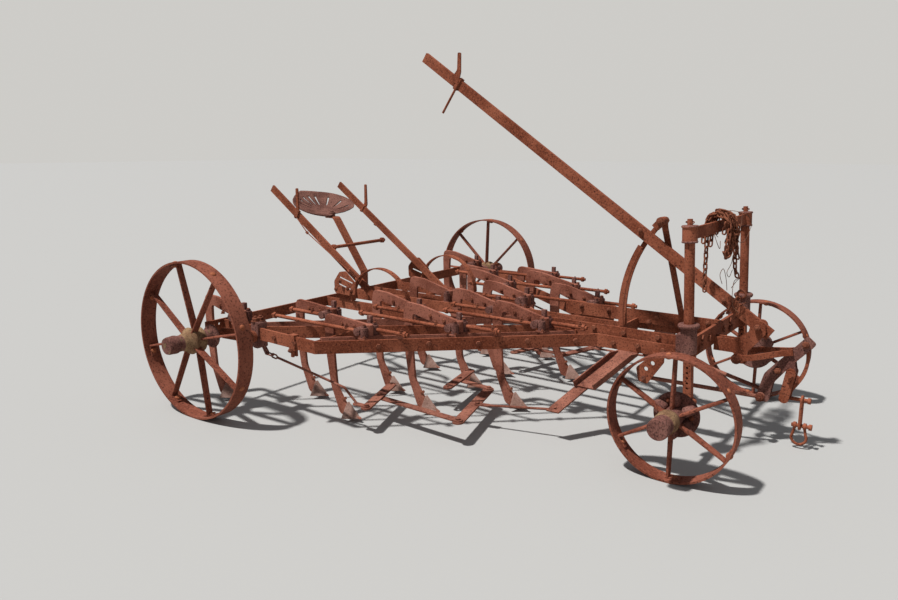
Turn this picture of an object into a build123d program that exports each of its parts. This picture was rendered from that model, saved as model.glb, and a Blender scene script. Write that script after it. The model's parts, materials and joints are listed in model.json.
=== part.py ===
from build123d import *
from math import acos, atan2, cos, degrees, hypot, pi, radians, sin, tan
import os

# A horse-drawn stump-jump scarifier, in millimetres.
# X runs forward from the rear axle to the hitch, Y to the machine's left, Z up from the floor.

# Driving sizes of the wheels
rear_wheel_diameter = 914
rear_rim_width = 95
rear_hub_outward = 180
rear_hub_inward = 130
crank_to_hub = 65.5
front_wheel_diameter = 610
front_rim_width = 89
front_track = 1520
front_hub_outward = 190
front_hub_inward = 75
wheelbase = 2520
rim_thickness = 10
spoke_foot = 62
seat_gap = 0.2

# Driving sizes of the frame
rail_top = 520
rail_depth = 70
rail_thickness = 14
flat_thickness = 12
rail_rear = 281
corner_x = 760
front_half_gap = 272
nose_length = 552
inner_nose_length = 888
rear_beam_x = -100
beam_overhang = 135
centre_bar_y = 75
upper_rail_length = 1012
upper_rail_top = 570
bracket_length = 56
bracket_width = 70
bracket_margin = 29
corner_flare = 45
upper_rail_depth = 78

# Driving sizes of the tines
tine_pitch = 178
widest_tine = 7
arm_depth = 66
tine_thickness = 18
tine_width = 76
pivot_top = 589
pivot_height = 67
pivot_diameter = 43
arch_reach = 375
arch_top = 655
floor_gap = 22
boss_diameter = 42
boss_drop = 12
stud_height = 104
saddle_thickness = 8
saddle_width = 48
saddle_length = 138
tine_bar_depth = 50
tine_bar_thickness = 10

# Driving sizes of the front posts and the steering
axle_trail = 30
post_x = wheelbase - axle_trail
post_y = 485
post_rake = 3
post_diameter = 49
sleeve_diameter = 78
sleeve_bottom = 550
sleeve_top = 690
collar_diameter = 96
stem_diameter = 46
stem_gap = 0.5
beam_bottom = 1100
beam_depth = 66
beam_thickness = 16
front_bar_bottom = 498
front_bar_top = 600
front_bar_thickness = 16
front_bar_setback = 28

# Driving sizes of the levers and the seat
rear_lever_y = 345
rear_lever_thickness = 16
rear_pivot_x = 400
rear_pivot_z = 500
rear_quadrant_radius = 240
quadrant_width = 40
rear_lever_rise = 35.4
rear_lever_reach = 1294
front_pivot_reach = 206
front_pivot_z = 620
front_lever_rise = 34.2
front_lever_reach = 2660
front_quadrant_radius = 745
seat_low_x = -330
seat_low_z = 1050
seat_hollow = 530
seat_roll = 8

# Where the part's origin lies on the X line that starts at the rear axle
origin_x = 1128.5

# Places that follow from the sizes above
bracket_y = widest_tine * tine_pitch + bracket_margin
crank_washer = 8
crank_thickness = 24
crank_y = bracket_y + bracket_width / 2 + crank_washer + crank_thickness / 2
rear_track = 2 * (crank_y + crank_thickness / 2 + crank_to_hub + rear_hub_inward)
rail_front = post_x - front_bar_setback
bend_x = rail_front - nose_length
inner_bend_x = rail_front - inner_nose_length
cross_bar_x = bend_x + 25
upper_rail_start = rail_front - upper_rail_length
corner_y = bracket_y + corner_flare
rear_half_gap = bracket_y + 15
side_bar_y = bracket_y - 25
front_pivot_x = post_x + front_pivot_reach
lever_gap = 6
rear_quadrant_y = rear_lever_y + rear_lever_thickness / 2 + lever_gap + quadrant_width / 2
quadrant_bar_y = rear_quadrant_y

parts = {}


def add(name, *pieces):
    """Keep the solids of one named node."""
    solids = [solid for piece in pieces for solid in piece.solids()]
    parts[name] = Compound(children=solids) if len(solids) > 1 else solids[0]


def outline(rows):
    """Face with straight sides and rounded corners from rows of x, y and corner radius."""
    count = len(rows)
    ends = []
    edges = []
    for index, (x, y, radius) in enumerate(rows):
        here = Vector(x, y)
        back = (Vector(*rows[index - 1][:2]) - here).normalized()
        ahead = (Vector(*rows[(index + 1) % count][:2]) - here).normalized()
        if radius == 0:
            ends.append((here, here))
            continue
        half = acos(max(-1, min(1, back.dot(ahead)))) / 2
        middle = (back + ahead).normalized()
        centre = here + middle * (radius / sin(half))
        start = here + back * (radius / tan(half))
        end = here + ahead * (radius / tan(half))
        edges.append(ThreePointArc(start, centre - middle * radius, end))
        ends.append((start, end))
    for index in range(count):
        start = ends[index][1]
        end = ends[(index + 1) % count][0]
        if (end - start).length > 0.001:
            edges.append(Line(start, end))
    return make_face(Wire(edges))


def side_plate(rows, y, thickness):
    """Plate that stands along X, cut to rows of x, z and corner radius."""
    return Pos(0, y, 0) * extrude(Plane.XZ * outline(rows), thickness / 2, both=True)


def cross_plate(rows, x, thickness):
    """Plate that stands across the machine, cut to rows of y, z and corner radius."""
    return Pos(x, 0, 0) * extrude(Plane.YZ * outline(rows), thickness / 2, both=True)


def rod(start, end, diameter):
    """Round bar between two points."""
    start = Vector(*start)
    along = Vector(*end) - start
    return Plane(origin=start, z_dir=along) * Cylinder(
        diameter / 2, along.length, align=(Align.CENTER, Align.CENTER, Align.MIN))


def strip(points, thickness):
    """Outline in plan of a bent flat bar on edge, mitred at its bends."""
    sides = [[], []]
    for index, (x, y) in enumerate(points):
        normals = []
        if index > 0:
            dx, dy = x - points[index - 1][0], y - points[index - 1][1]
            normals.append((-dy / hypot(dx, dy), dx / hypot(dx, dy)))
        if index < len(points) - 1:
            dx, dy = points[index + 1][0] - x, points[index + 1][1] - y
            normals.append((-dy / hypot(dx, dy), dx / hypot(dx, dy)))
        nx = sum(normal[0] for normal in normals) / len(normals)
        ny = sum(normal[1] for normal in normals) / len(normals)
        scale = thickness / 2 / (nx * nx + ny * ny)
        sides[0].append((x + nx * scale, y + ny * scale))
        sides[1].append((x - nx * scale, y - ny * scale))
    return sides[0] + sides[1][::-1]


def edge_bar(points, thickness, bottom, top):
    """Bent flat bar on edge between two heights."""
    corners = [(x, y, 0) for x, y in strip(points, thickness)]
    return Pos(0, 0, bottom) * extrude(outline(corners), top - bottom)


def mirrored(piece):
    """The same piece on the other side of the machine."""
    return mirror(piece, about=Plane.XZ)


# Wheels: rim, flat spokes with a foot riveted to the rim, and a long cast hub
def rim(diameter, width):
    ring = Cylinder(diameter / 2, width) - Cylinder(diameter / 2 - rim_thickness, width + 2)
    return ring


def ring_sector(inner, outer, width, start, sweep):
    """Part of a flat ring about the Z line, in degrees from +X towards +Y."""
    section = Plane.XZ * Pos((inner + outer) / 2, 0) * Rectangle(outer - inner, width)
    return Rot(0, 0, start) * revolve(section, Axis.Z, sweep)


def spoke(rim_radius, hub_radius, width, thickness, hub_offset):
    """Flat bar from hub to rim, broad side across the wheel, with its foot bent along the rim."""
    reach = rim_radius - seat_gap
    blade = make_face(Polyline(
        (hub_radius, hub_offset - width / 2), (reach - 2, -width / 2),
        (reach - 2, width / 2), (hub_radius, hub_offset + width / 2), close=True))
    bar = extrude(Plane.XZ * blade, thickness / 2, both=True)
    lean = degrees(thickness / 2 / reach)
    shoe = ring_sector(reach - thickness, reach, width, -lean, degrees(spoke_foot / reach))
    return bar + shoe


# Rear and front wheel rows: node word, diameter, rim width, track, x, spokes, spoke width, spoke thickness,
# hub radius, hub outward, hub inward, flange radius, bore radius
wheel_rows = [
    ("rear", rear_wheel_diameter, rear_rim_width, rear_track, 0, 8, 50, 12,
     46, rear_hub_outward, rear_hub_inward, 62, 24),
    ("front", front_wheel_diameter, front_rim_width, front_track, wheelbase, 6, 38, 9,
     48, front_hub_outward, front_hub_inward, 104, 22),
]
axle_gap = 0.5
hub_cap = 30

for (word, diameter, width, track, x, count, blade, thick,
     hub_radius, outward, inward, flange, bore) in wheel_rows:
    inner = diameter / 2 - rim_thickness
    ring = rim(diameter, width)
    stagger = 20 if word == "rear" else 0
    barrel = Pos(0, 0, (outward - inward) / 2) * Cylinder(hub_radius, outward + inward)
    barrel += Pos(0, 0, -inward + 8) * Cylinder(flange, 16)
    barrel -= Pos(0, 0, (outward - inward) / 2 - hub_cap) * Cylinder(bore + axle_gap, outward + inward)
    blades = []
    for number in range(count):
        offset = stagger if number % 2 else -stagger
        blades.append(Rot(0, 0, number * 360 / count + 90) * spoke(inner, hub_radius + seat_gap, blade, thick, offset))
    for side, hand in ((-1, "right"), (1, "left")):
        place = Pos(x, side * track / 2, diameter / 2) * Rot(-side * 90, 0, 0)
        add(f"{word}_{hand}_rim", place * ring)
        add(f"{word}_{hand}_spokes", *[place * piece for piece in blades])
        add(f"{word}_{hand}_hub", place * barrel)

# Frame rails, drawn for the right side and mirrored
top_of_saddle = pivot_top - pivot_height
saddle_bottom = top_of_saddle - saddle_thickness
inner_tail_y = front_half_gap - (rail_thickness + flat_thickness) / 2
upper_rail_y = inner_tail_y - flat_thickness
outer_line = [
    (rail_rear - 6, -rear_half_gap), (corner_x, -corner_y),
    (bend_x, -front_half_gap), (rail_front, -front_half_gap)]
inner_line = [
    (rail_rear - 6, -side_bar_y), (inner_bend_x, -inner_tail_y), (inner_bend_x + 200, -inner_tail_y)]


def between(piece, y_low, y_high):
    """The stretch of a right-hand bar between two distances from the middle."""
    window = Pos(1000, -(y_low + y_high) / 2, 500) * Box(6000, y_high - y_low, 2000)
    return piece & window


def both_sides(name, *pieces):
    """A right-hand and a left-hand node of the same pieces."""
    add(name + "_right", *pieces)
    add(name + "_left", *[mirrored(piece) for piece in pieces])


def pair(name, *pieces):
    """One node of right-hand pieces and their mirror images."""
    add(name, *pieces, *[mirrored(piece) for piece in pieces])


# Rear corner bracket, a casting that carries the rails, the side bar and the crank
bracket_rear = rail_rear - bracket_length
bracket_low = 400
bracket_high = 556
bracket = Pos(0, -bracket_y, 0) * extrude(
    Plane.XZ * outline([
        (bracket_rear, bracket_low, 24), (rail_rear, bracket_low, 10),
        (rail_rear, bracket_high, 18), (bracket_rear, bracket_high, 18)]), bracket_width / 2, both=True)
lug_eye = (rail_rear + 8, -bracket_y + 20, bracket_low - 36)
lug = side_plate([
    (rail_rear - 40, bracket_low + 6, 0), (rail_rear - 2, bracket_low + 6, 0), (lug_eye[0] + 15, lug_eye[2] + 10, 12),
    (lug_eye[0] + 12, lug_eye[2] - 13, 10), (lug_eye[0] - 14, lug_eye[2] - 12, 10)], lug_eye[1], 7)
lug -= rod((lug_eye[0], lug_eye[1] - 20, lug_eye[2]), (lug_eye[0], lug_eye[1] + 20, lug_eye[2]), 13)
bracket += lug
crank_pivot_x = rail_rear - bracket_length / 2
crank_pivot_z = 470
crank_pin = 34
bracket -= rod(
    (crank_pivot_x, -crank_y, crank_pivot_z), (crank_pivot_x, 0, crank_pivot_z), crank_pin + 2 * seat_gap)

rail_bottom = rail_top - rail_depth
outer_rail = edge_bar(outer_line, rail_thickness, rail_bottom, rail_top) - bracket
inner_rail = edge_bar(inner_line, flat_thickness, rail_bottom, rail_top) - bracket
upper_rail = edge_bar(
    [(upper_rail_start, -upper_rail_y), (rail_front, -upper_rail_y)],
    flat_thickness, upper_rail_top - upper_rail_depth, upper_rail_top)
pair("outer_rails", outer_rail)
pair("inner_rails", inner_rail)
pair("upper_rails", upper_rail)
pair("rear_brackets", bracket)

# Bars that tie the rails together
beam_half = side_bar_y + beam_overhang
rear_beam = Pos(rear_beam_x, 0, rail_bottom) * Box(
    flat_thickness, 2 * beam_half, rail_depth, align=(Align.CENTER, Align.CENTER, Align.MIN))
for side in (-1, 1):
    for number in range(3):
        hole_y = side * (beam_half - 24 - 36 * number)
        rear_beam -= rod(
            (rear_beam_x - 20, hole_y, rail_bottom + 42), (rear_beam_x + 20, hole_y, rail_bottom + 42), 17)
side_bar_top = saddle_bottom
side_bar = edge_bar(
    [(rear_beam_x + flat_thickness / 2, -side_bar_y), (bracket_rear, -side_bar_y)],
    flat_thickness, rail_bottom, side_bar_top)
centre_bar = edge_bar(
    [(rear_beam_x + flat_thickness / 2, -centre_bar_y),
     (cross_bar_x - flat_thickness / 2 - seat_gap, -centre_bar_y)],
    flat_thickness, rail_bottom, rail_top)
cross_bar = Pos(cross_bar_x, 0, rail_bottom) * Box(
    flat_thickness, 2 * upper_rail_y - flat_thickness, rail_depth,
    align=(Align.CENTER, Align.CENTER, Align.MIN))
add("rear_beam", rear_beam)
add("cross_bar", cross_bar)

# Bars on edge under the tines' seats
def x_on_line(line, y):
    """X of a line in plan, given by two points as x and distance from the middle."""
    (x_a, y_a), (x_b, y_b) = line
    return x_a + (x_b - x_a) * (y_a - y) / (y_a - y_b)


def tine_bar(line, depth):
    """Bar on edge along a line in plan, longer than it at both ends."""
    far_y = widest_tine * tine_pitch + 200
    return edge_bar(
        [(x_on_line(line, far_y), -far_y), (x_on_line(line, -100), 100)],
        tine_bar_thickness, saddle_bottom - depth, saddle_bottom)


spreader_x = corner_x - 60
outer_bar_shift = 158
outer_bar_line = [(corner_x - outer_bar_shift, corner_y), (bend_x - outer_bar_shift, front_half_gap)]
inner_bar_line = [(80, widest_tine * tine_pitch), (bend_x - 700, tine_pitch)]
rail_line = [(corner_x, corner_y), (bend_x, front_half_gap)]
outer_bar_rear = spreader_x + flat_thickness / 2
run_slope = (corner_y - front_half_gap) / (bend_x - corner_x)
outer_bar_end = corner_y - (outer_bar_rear - corner_x + outer_bar_shift) * run_slope
outer_tine_bar = between(tine_bar(outer_bar_line, tine_bar_depth), inner_tail_y + flat_thickness / 2, outer_bar_end)
spreader = Pos(spreader_x, -bracket_y + 175, rail_bottom) * Box(
    flat_thickness, 520, tine_bar_depth, align=(Align.CENTER, Align.CENTER, Align.MIN))
spreader -= outer_rail
spreader -= inner_rail
spreader = max(spreader.solids(), key=lambda piece: piece.volume)
outer_tine_bar -= spreader
inner_tine_bar = between(
    tine_bar(inner_bar_line, tine_bar_depth), centre_bar_y + flat_thickness / 2, side_bar_y - flat_thickness / 2)
pair("tine_bars", outer_tine_bar, inner_tine_bar)
pair("spreaders", spreader)


# Tines: a plate gooseneck from a forged pivot end over an arch to a curved shank and its point
def tine(x, y, reach=arch_reach, drop=0):
    """One tine with its pivot end at x, y, its reach back from there, and how far its arch has sunk."""
    front = pivot_diameter / 2
    back = front - reach
    arch = arch_top - drop
    foot = back + 70
    rows = [
        (0, top_of_saddle + 4, 0),
        (back + tine_width + 4, arch - arm_depth - 6, 34),
        (back + tine_width, 370, 60),
        (back + tine_width + 12, 190, 120),
        (foot + tine_width + 20, 70, 60),
        (foot + 190, floor_gap, 4),
        (foot + 30, floor_gap, 40),
        (back + 34, 190, 160),
        (back + 6, 370, 60),
        (back, arch - 80, 30),
        (back + 10, arch, 56),
        (back + 130, arch - 8, 120),
        (0, pivot_top, 0),
    ]
    plate = side_plate(rows, y, tine_thickness)
    end = Pos(0, y, top_of_saddle) * Cylinder(
        front, pivot_height, align=(Align.CENTER, Align.CENTER, Align.MIN))
    return Pos(x, 0, 0) * (plate + end)


boss_shift = (pivot_diameter + boss_diameter) / 2 + seat_gap
boss_height = pivot_height - boss_drop


tie_diameter = 22
tie_z = top_of_saddle + 30
eye_back = 40
eye_radius = 23


def boss(x, y):
    """Cast post with a nut on top, beside a tine's pivot end."""
    post = Pos(x, y, top_of_saddle) * Cylinder(
        boss_diameter / 2, boss_height, align=(Align.CENTER, Align.CENTER, Align.MIN))
    nut = Pos(x, y, top_of_saddle + boss_height) * extrude(RegularPolygon(14, 6), 12)
    return post + nut


def near_boss(x, y):
    """Cast post with a level eye behind it that holds the tie rod."""
    eye = rod((x - eye_back, y - 20, tie_z), (x - eye_back, y + 20, tie_z), 2 * eye_radius)
    return boss(x, y) + eye


def far_boss(x, y):
    """Cast post with a square stud that stands up behind it."""
    stud = Pos(x - 28, y - 6, top_of_saddle) * Box(
        26, 22, stud_height, align=(Align.CENTER, Align.CENTER, Align.MIN))
    return boss(x, y) + stud


# Tine rows: how far the pivot lies ahead of the tine bar's middle, steps from the machine's middle,
# reach back from the pivot, how far the arch has sunk
outer_row = [(45, 6, 358, 42), (8, 4, 420, 0), (-35, 2, arch_reach, 0)]
inner_row = [(-5, 7, arch_reach, 0), (14, 5, 345, 40), (17, 3, 400, 0), (-10, 1, arch_reach, 0)]


def tine_places(line, rows):
    """Rows of pivot x, steps, reach and drop for tines along a tine bar's line."""
    return [(x_on_line(line, steps * tine_pitch) + ahead, steps, reach, drop) for ahead, steps, reach, drop in rows]


outer_tines = tine_places(outer_bar_line, outer_row)
inner_tines = tine_places(inner_bar_line, inner_row)
centre_tine_x = 700


def saddle(x, y, length):
    return Pos(x, y, saddle_bottom) * Box(
        saddle_width, length, saddle_thickness, align=(Align.CENTER, Align.CENTER, Align.MIN))


bosses = []
saddles = []
for word, rows in (("outer", outer_tines), ("inner", inner_tines)):
    right = [tine(x, -steps * tine_pitch, reach, drop) for x, steps, reach, drop in rows]
    pair(word + "_tines", *right)
    for x, steps, reach, drop in rows:
        for side in (-1, 1):
            y = side * steps * tine_pitch
            bosses.append(near_boss(x, y - boss_shift))
            bosses.append(far_boss(x, y + boss_shift))
            saddles.append(saddle(x, y, saddle_length))
add("centre_tine", tine(centre_tine_x, 0))
for side in (-1, 1):
    bosses.append(boss(centre_tine_x, side * boss_shift))
saddles.append(saddle(centre_tine_x, 0, 2 * centre_bar_y - flat_thickness))
add("tine_bosses", *bosses)
add("tine_saddles", *saddles)

# Rear cranks: an arm from the bracket to the stub axle of the wheel
axle_y = rear_track / 2
rear_axle_z = rear_wheel_diameter / 2
arm = make_hull(
    (Pos(crank_pivot_x, crank_pivot_z) * Circle(34)).edges() + (Pos(0, rear_axle_z) * Circle(30)).edges())
crank = Pos(0, -crank_y, 0) * extrude(Plane.XZ * arm, crank_thickness / 2, both=True)
crank += rod((0, -crank_y, rear_axle_z), (0, -axle_y - rear_hub_outward + 40, rear_axle_z), 48)
crank += rod(
    (crank_pivot_x, -crank_y, crank_pivot_z), (crank_pivot_x, -bracket_y + bracket_width / 2, crank_pivot_z),
    crank_pin)
pair("rear_cranks", crank)

# Front posts: sleeve, collar and tube on one raked axis, with a cross beam on top
rake = Pos(post_x, 0, sleeve_bottom) * Rot(0, -post_rake, 0)


def post_local(y):
    """Frame of a post: its origin at the bottom of the sleeve, Z up the raked axis."""
    return Pos(0, y, 0) * rake


sleeve_height = sleeve_top - sleeve_bottom
sleeve = Cylinder(sleeve_diameter / 2, sleeve_height, align=(Align.CENTER, Align.CENTER, Align.MIN))
sleeve += Pos(0, 0, sleeve_height - 14) * Cylinder(
    collar_diameter / 2, 20, align=(Align.CENTER, Align.CENTER, Align.MIN))
sleeve -= Cylinder(stem_diameter / 2 + stem_gap, sleeve_height - 20, align=(Align.CENTER, Align.CENTER, Align.MIN))
tube = Pos(0, 0, sleeve_height + 6) * Cylinder(
    post_diameter / 2, beam_bottom - sleeve_top - 6 + 0, align=(Align.CENTER, Align.CENTER, Align.MIN))
eye_base = beam_bottom - sleeve_bottom
eye = Pos(0, 0, eye_base) * Cylinder(36, beam_depth, align=(Align.CENTER, Align.CENTER, Align.MIN))
stud = Pos(0, 0, eye_base + beam_depth) * Cylinder(
    13, 40, align=(Align.CENTER, Align.CENTER, Align.MIN))
stud += Pos(0, 0, eye_base + beam_depth) * Cylinder(
    40, 6, align=(Align.CENTER, Align.CENTER, Align.MIN))
web = rake * Pos(0, 0, eye_base + 4) * Box(
    beam_thickness, 2 * post_y, beam_depth - 8, align=(Align.CENTER, Align.CENTER, Align.MIN))
beam = web
for side in (-1, 1):
    beam += post_local(side * post_y) * (eye + stud)
clamp = Pos(-front_bar_setback - 20, 38, 30) * Box(34, 76, 116)
clamp += Pos(-front_bar_setback - 30, 46, 42) * Rot(0, 90, 0) * extrude(RegularPolygon(22, 6), 16, both=True)
sleeve += clamp - Cylinder(sleeve_diameter / 2 - 4, 400)
right_sleeve = post_local(-post_y) * sleeve
right_post = post_local(-post_y) * tube
pair("post_sleeves", right_sleeve)
pair("posts", right_post)
add("post_beam", beam)
front_bar = Pos(rail_front + front_bar_thickness / 2, 0, front_bar_bottom) * Box(
    front_bar_thickness, 2 * post_y, front_bar_top - front_bar_bottom,
    align=(Align.CENTER, Align.CENTER, Align.MIN))
for side in (-1, 1):
    front_bar -= post_local(side * post_y) * Cylinder(
        sleeve_diameter / 2, 400, align=(Align.CENTER, Align.CENTER, Align.CENTER))
front_bar = max(front_bar.solids(), key=lambda piece: piece.volume)
add("front_bar", front_bar)

# Steering stems: a bar in the sleeve, drilled as a rack below it, with the wheel's stub axle
front_axle_z = front_wheel_diameter / 2
stem_drop = sleeve_bottom - front_axle_z + 30
stem = Cylinder(stem_diameter / 2, sleeve_height - 24, align=(Align.CENTER, Align.CENTER, Align.MIN))
stem += Pos(0, 0, -2) * Box(40, 40, stem_drop, align=(Align.CENTER, Align.CENTER, Align.MAX))
for number in range(5):
    stem -= Pos(0, 0, -70 - 26 * number) * Rot(90, 0, 0) * Cylinder(6, 60)
stem += Cylinder(stem_diameter / 2, 2, align=(Align.CENTER, Align.CENTER, Align.MAX))
right_stem = post_local(-post_y) * stem
right_stem += rod(
    (wheelbase, -post_y + 15, front_axle_z),
    (wheelbase, -front_track / 2 - front_hub_outward + 40, front_axle_z), 44)
both_sides("steering_stem", right_stem)


# Rear levers, each beside a perforated quadrant
def arc_band(x, y, z, radius, thickness, width, start, sweep):
    """Flat band bent to an arc about the Y line through x, z; angles from +X towards +Z."""
    return Pos(x, y, z) * Rot(90, 0, 0) * ring_sector(radius, radius + thickness, width, start, sweep)


quadrant = arc_band(
    rear_pivot_x, -rear_quadrant_y, saddle_bottom, rear_quadrant_radius, 8, quadrant_width, 0, 180)
for number in range(13):
    angle = 12 + 13 * number
    hole = Rot(0, 0, angle) * Pos(rear_quadrant_radius, 0, 0) * Rot(0, 90, 0) * Cylinder(6, 60)
    quadrant -= Pos(rear_pivot_x, -rear_quadrant_y, saddle_bottom) * Rot(90, 0, 0) * hole
rise = radians(rear_lever_rise)
lever_bar = Pos(-rear_lever_reach / 2, 0, 0) * Box(rear_lever_reach, rear_lever_thickness, 50)
lever_bar += Rot(90, 0, 0) * Cylinder(32, rear_lever_thickness)
lever_bar -= Rot(90, 0, 0) * Cylinder(13.3, 60)
rear_lever = Pos(rear_pivot_x, -rear_lever_y, rear_pivot_z) * Rot(0, rear_lever_rise, 0)
latch_y = -rear_lever_thickness / 2 - 5
latch_pull = 985
latch_pin_start = rear_quadrant_radius + 30
latch_pin_length = 108
lever_bar += Pos(-latch_pull, 0, 0) * Box(16, rear_lever_thickness + 10, 60)
lever_bar += Pos(-latch_pin_start, latch_y - 3, 0) * Rot(0, -90, 0) * Cylinder(
    9, latch_pin_length, align=(Align.CENTER, Align.CENTER, Align.MIN))
for along in (latch_pin_start + 12, latch_pin_start + latch_pin_length - 8):
    lever_bar += Pos(-along, -rear_lever_thickness / 2 - 6, 0) * Box(12, 14, 30)
lever_bar += rod((-latch_pin_start - latch_pin_length, latch_y - 3, 0), (-latch_pull + 160, latch_y - 3, -36), 7)
lever_bar += Pos(-latch_pull + 160, latch_y - 3, -36) * Box(20, 12, 14)
lever_bar += rod((-latch_pull + 160, latch_y - 3, -36), (-latch_pull + 20, latch_y - 3, -12), 7)
rear_lever *= lever_bar
pull_x = rear_pivot_x - latch_pull * cos(rise)
pull_z = rear_pivot_z + latch_pull * sin(rise)
rear_lever += side_plate([
    (pull_x - 22, pull_z - 12, 6), (pull_x + 12, pull_z - 20, 6), (pull_x + 34, pull_z + 30, 14),
    (pull_x + 30, pull_z + 186, 7), (pull_x + 10, pull_z + 186, 7), (pull_x + 8, pull_z + 44, 24)],
    -rear_lever_y + latch_y, 10)
shaft_end = rear_quadrant_y + 40
shaft_start = centre_bar_y + flat_thickness / 2 + seat_gap
lever_shaft = rod(
    (rear_pivot_x, -shaft_start, rear_pivot_z), (rear_pivot_x, -shaft_end, rear_pivot_z), 26)
pair("rear_quadrants", quadrant)

# Slotted side plates against the quadrants' rear feet
slot_slope = 15
side_slot = Rot(0, 0, -slot_slope) * (Rectangle(116, 11) + Pos(58, 0) * Circle(5.5) + Pos(-58, 0) * Circle(5.5))
slotted = outline([
    (10, 556, 20), (6, 640, 26), (58, 708, 30), (112, 716, 20), (206, 640, 24), (196, 566, 14), (150, 552, 14)])
for slot_x, slot_z in ((116, 656), (108, 608)):
    slotted -= Pos(slot_x, slot_z) * side_slot
slotted_y = rear_quadrant_y + quadrant_width / 2 + seat_gap + 4
slotted_plate = Pos(0, -slotted_y, 0) * extrude(Plane.XZ * slotted, 4, both=True)
pair("slotted_plates", slotted_plate)
foot_bar_reach = 585
foot_bar_end = -rear_lever_y + 550
foot_bar_x = rear_pivot_x - foot_bar_reach * cos(rise) + 10
foot_bar_z = rear_pivot_z + foot_bar_reach * sin(rise) + 20
foot_bar = rod((foot_bar_x, -rear_lever_y, foot_bar_z), (foot_bar_x, foot_bar_end, foot_bar_z), 24)
for start in (-rear_lever_y + rear_lever_thickness / 2, foot_bar_end - 34):
    foot_bar += Pos(foot_bar_x, start, foot_bar_z) * Rot(-90, 0, 0) * extrude(RegularPolygon(21, 6), 20)
add("rear_lever_right", rear_lever + foot_bar)
add("rear_lever_left", mirrored(rear_lever))
pair("lever_shafts", lever_shaft)
quadrant_bar = edge_bar(
    [(rear_beam_x + flat_thickness / 2, -quadrant_bar_y), (bend_x, -quadrant_bar_y)],
    flat_thickness, rail_bottom, saddle_bottom)
quadrant_bar -= tine_bar(inner_bar_line, rail_depth)
quadrant_bar = min(quadrant_bar.solids(), key=lambda piece: piece.center().X)
quadrant_bar -= rod(
    (rear_pivot_x, -shaft_start, rear_pivot_z), (rear_pivot_x, -shaft_end, rear_pivot_z), 26 + 2 * seat_gap)
pair("long_bars", side_bar, centre_bar, quadrant_bar)

# Front lever, its quadrant of two bars and the link that carries its lower end
def above(piece, height):
    """The stretch of a piece above a height."""
    return piece & Pos(1000, 0, height) * Box(6000, 4000, 4000, align=(Align.CENTER, Align.CENTER, Align.MIN))


def flat_brace(start, end, width, thickness):
    """Flat bar that leans sideways between two points, its broad side along the machine, with upright ends."""
    start = Vector(*start)
    end = Vector(*end)
    knee = 40
    middle = [start, start + Vector(4, 0, -knee), end + Vector(-4, 0, knee), end]
    path = []
    for index, point in enumerate(middle):
        path.append((point.Y, point.Z, 0 if index in (0, 3) else 12))
    left = [(y - thickness / 2, z) for y, z, radius in path]
    right = [(y + thickness / 2, z) for y, z, radius in path]
    sheet = extrude(Plane.YZ * make_face(Polyline(*left, *right[::-1], close=True)), 400, both=True)
    lean = make_hull(
        (Pos(start.X, start.Z) * Circle(width / 2)).edges() + (Pos(end.X, end.Z) * Circle(width / 2)).edges())
    window = extrude(Plane.XZ * lean, 2000, both=True)
    sheet = Pos((start.X + end.X) / 2, 0, 0) * sheet
    return sheet & window


lever_half = 13
lever_side_gap = 6
quadrant_plate = 10
lever_depth = 62
bars = []
quadrant_bar_shift = lever_half + lever_side_gap + quadrant_plate / 2
for side, arc_start in ((-1, 150.5), (1, 136.5)):
    band = arc_band(
        front_pivot_x, side * quadrant_bar_shift, front_pivot_z,
        front_quadrant_radius, 28, quadrant_plate, arc_start, 194 - arc_start)
    bars.append(above(band, rail_top))
head_turn = 138.3
head_angle = radians(head_turn)
head_radius = front_quadrant_radius + 14
head = Pos(
    front_pivot_x + head_radius * cos(head_angle), 0, front_pivot_z + head_radius * sin(head_angle))
head *= Rot(0, 90.5 - head_turn, 0)
block = head * Box(64, 2 * quadrant_bar_shift - quadrant_plate, 40)
head_x = front_pivot_x + (head_radius + 2) * cos(head_angle) + 18
head_z = front_pivot_z + (head_radius + 2) * sin(head_angle) + 14
head_eye = quadrant_bar_shift + quadrant_plate / 2
block += rod((head_x, -head_eye - 10, head_z), (head_x, head_eye, head_z), 46)
block += rod((head_x, -head_eye - 22, head_z), (head_x, head_eye + 24, head_z), 24)
brace_y = head_eye + seat_gap + 5
brace_foot = (head_x + 66, upper_rail_y - flat_thickness / 2 - seat_gap - 5, upper_rail_top - 44)
brace = flat_brace((head_x, brace_y, head_z), brace_foot, 34, 10)
brace -= rod((head_x, head_eye, head_z), (head_x, head_eye + 60, head_z), 24 + 2 * seat_gap)
add("front_quadrant", bars[0] + bars[1] + block, brace)
lever_body = Pos(-front_lever_reach / 2 + 35, 0, 0) * Box(front_lever_reach + 70, 2 * lever_half, lever_depth)
lever_body -= Rot(90, 0, 0) * Cylinder(11.3, 60)
front_lever = Pos(front_pivot_x, 0, front_pivot_z) * Rot(0, front_lever_rise, 0)
front_pull = 2338
lever_body += Pos(-front_pull, 0, 0) * Box(26, 2 * lever_half + 16, lever_depth + 16)
front_lever *= lever_body
front_rise = radians(front_lever_rise)
grip_x = front_pivot_x - front_pull * cos(front_rise)
grip_z = front_pivot_z + front_pull * sin(front_rise)
front_lever += side_plate([
    (grip_x - 34, grip_z + 20, 8), (grip_x + 8, grip_z - 6, 8), (grip_x + 30, grip_z + 70, 20),
    (grip_x + 30, grip_z + 190, 8), (grip_x + 8, grip_z + 190, 8), (grip_x + 4, grip_z + 86, 30),
    (grip_x - 30, grip_z + 50, 12)], -lever_half - 5, 10)
front_lever += rod((grip_x + 8, -lever_half - 4, grip_z), (grip_x - 112, -lever_half - 4, grip_z - 176), 15)
add("front_lever", front_lever)
lever_pin = rod((front_pivot_x, -40, front_pivot_z), (front_pivot_x, 40, front_pivot_z), 22)
link_rear = rail_front + front_bar_thickness
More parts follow.
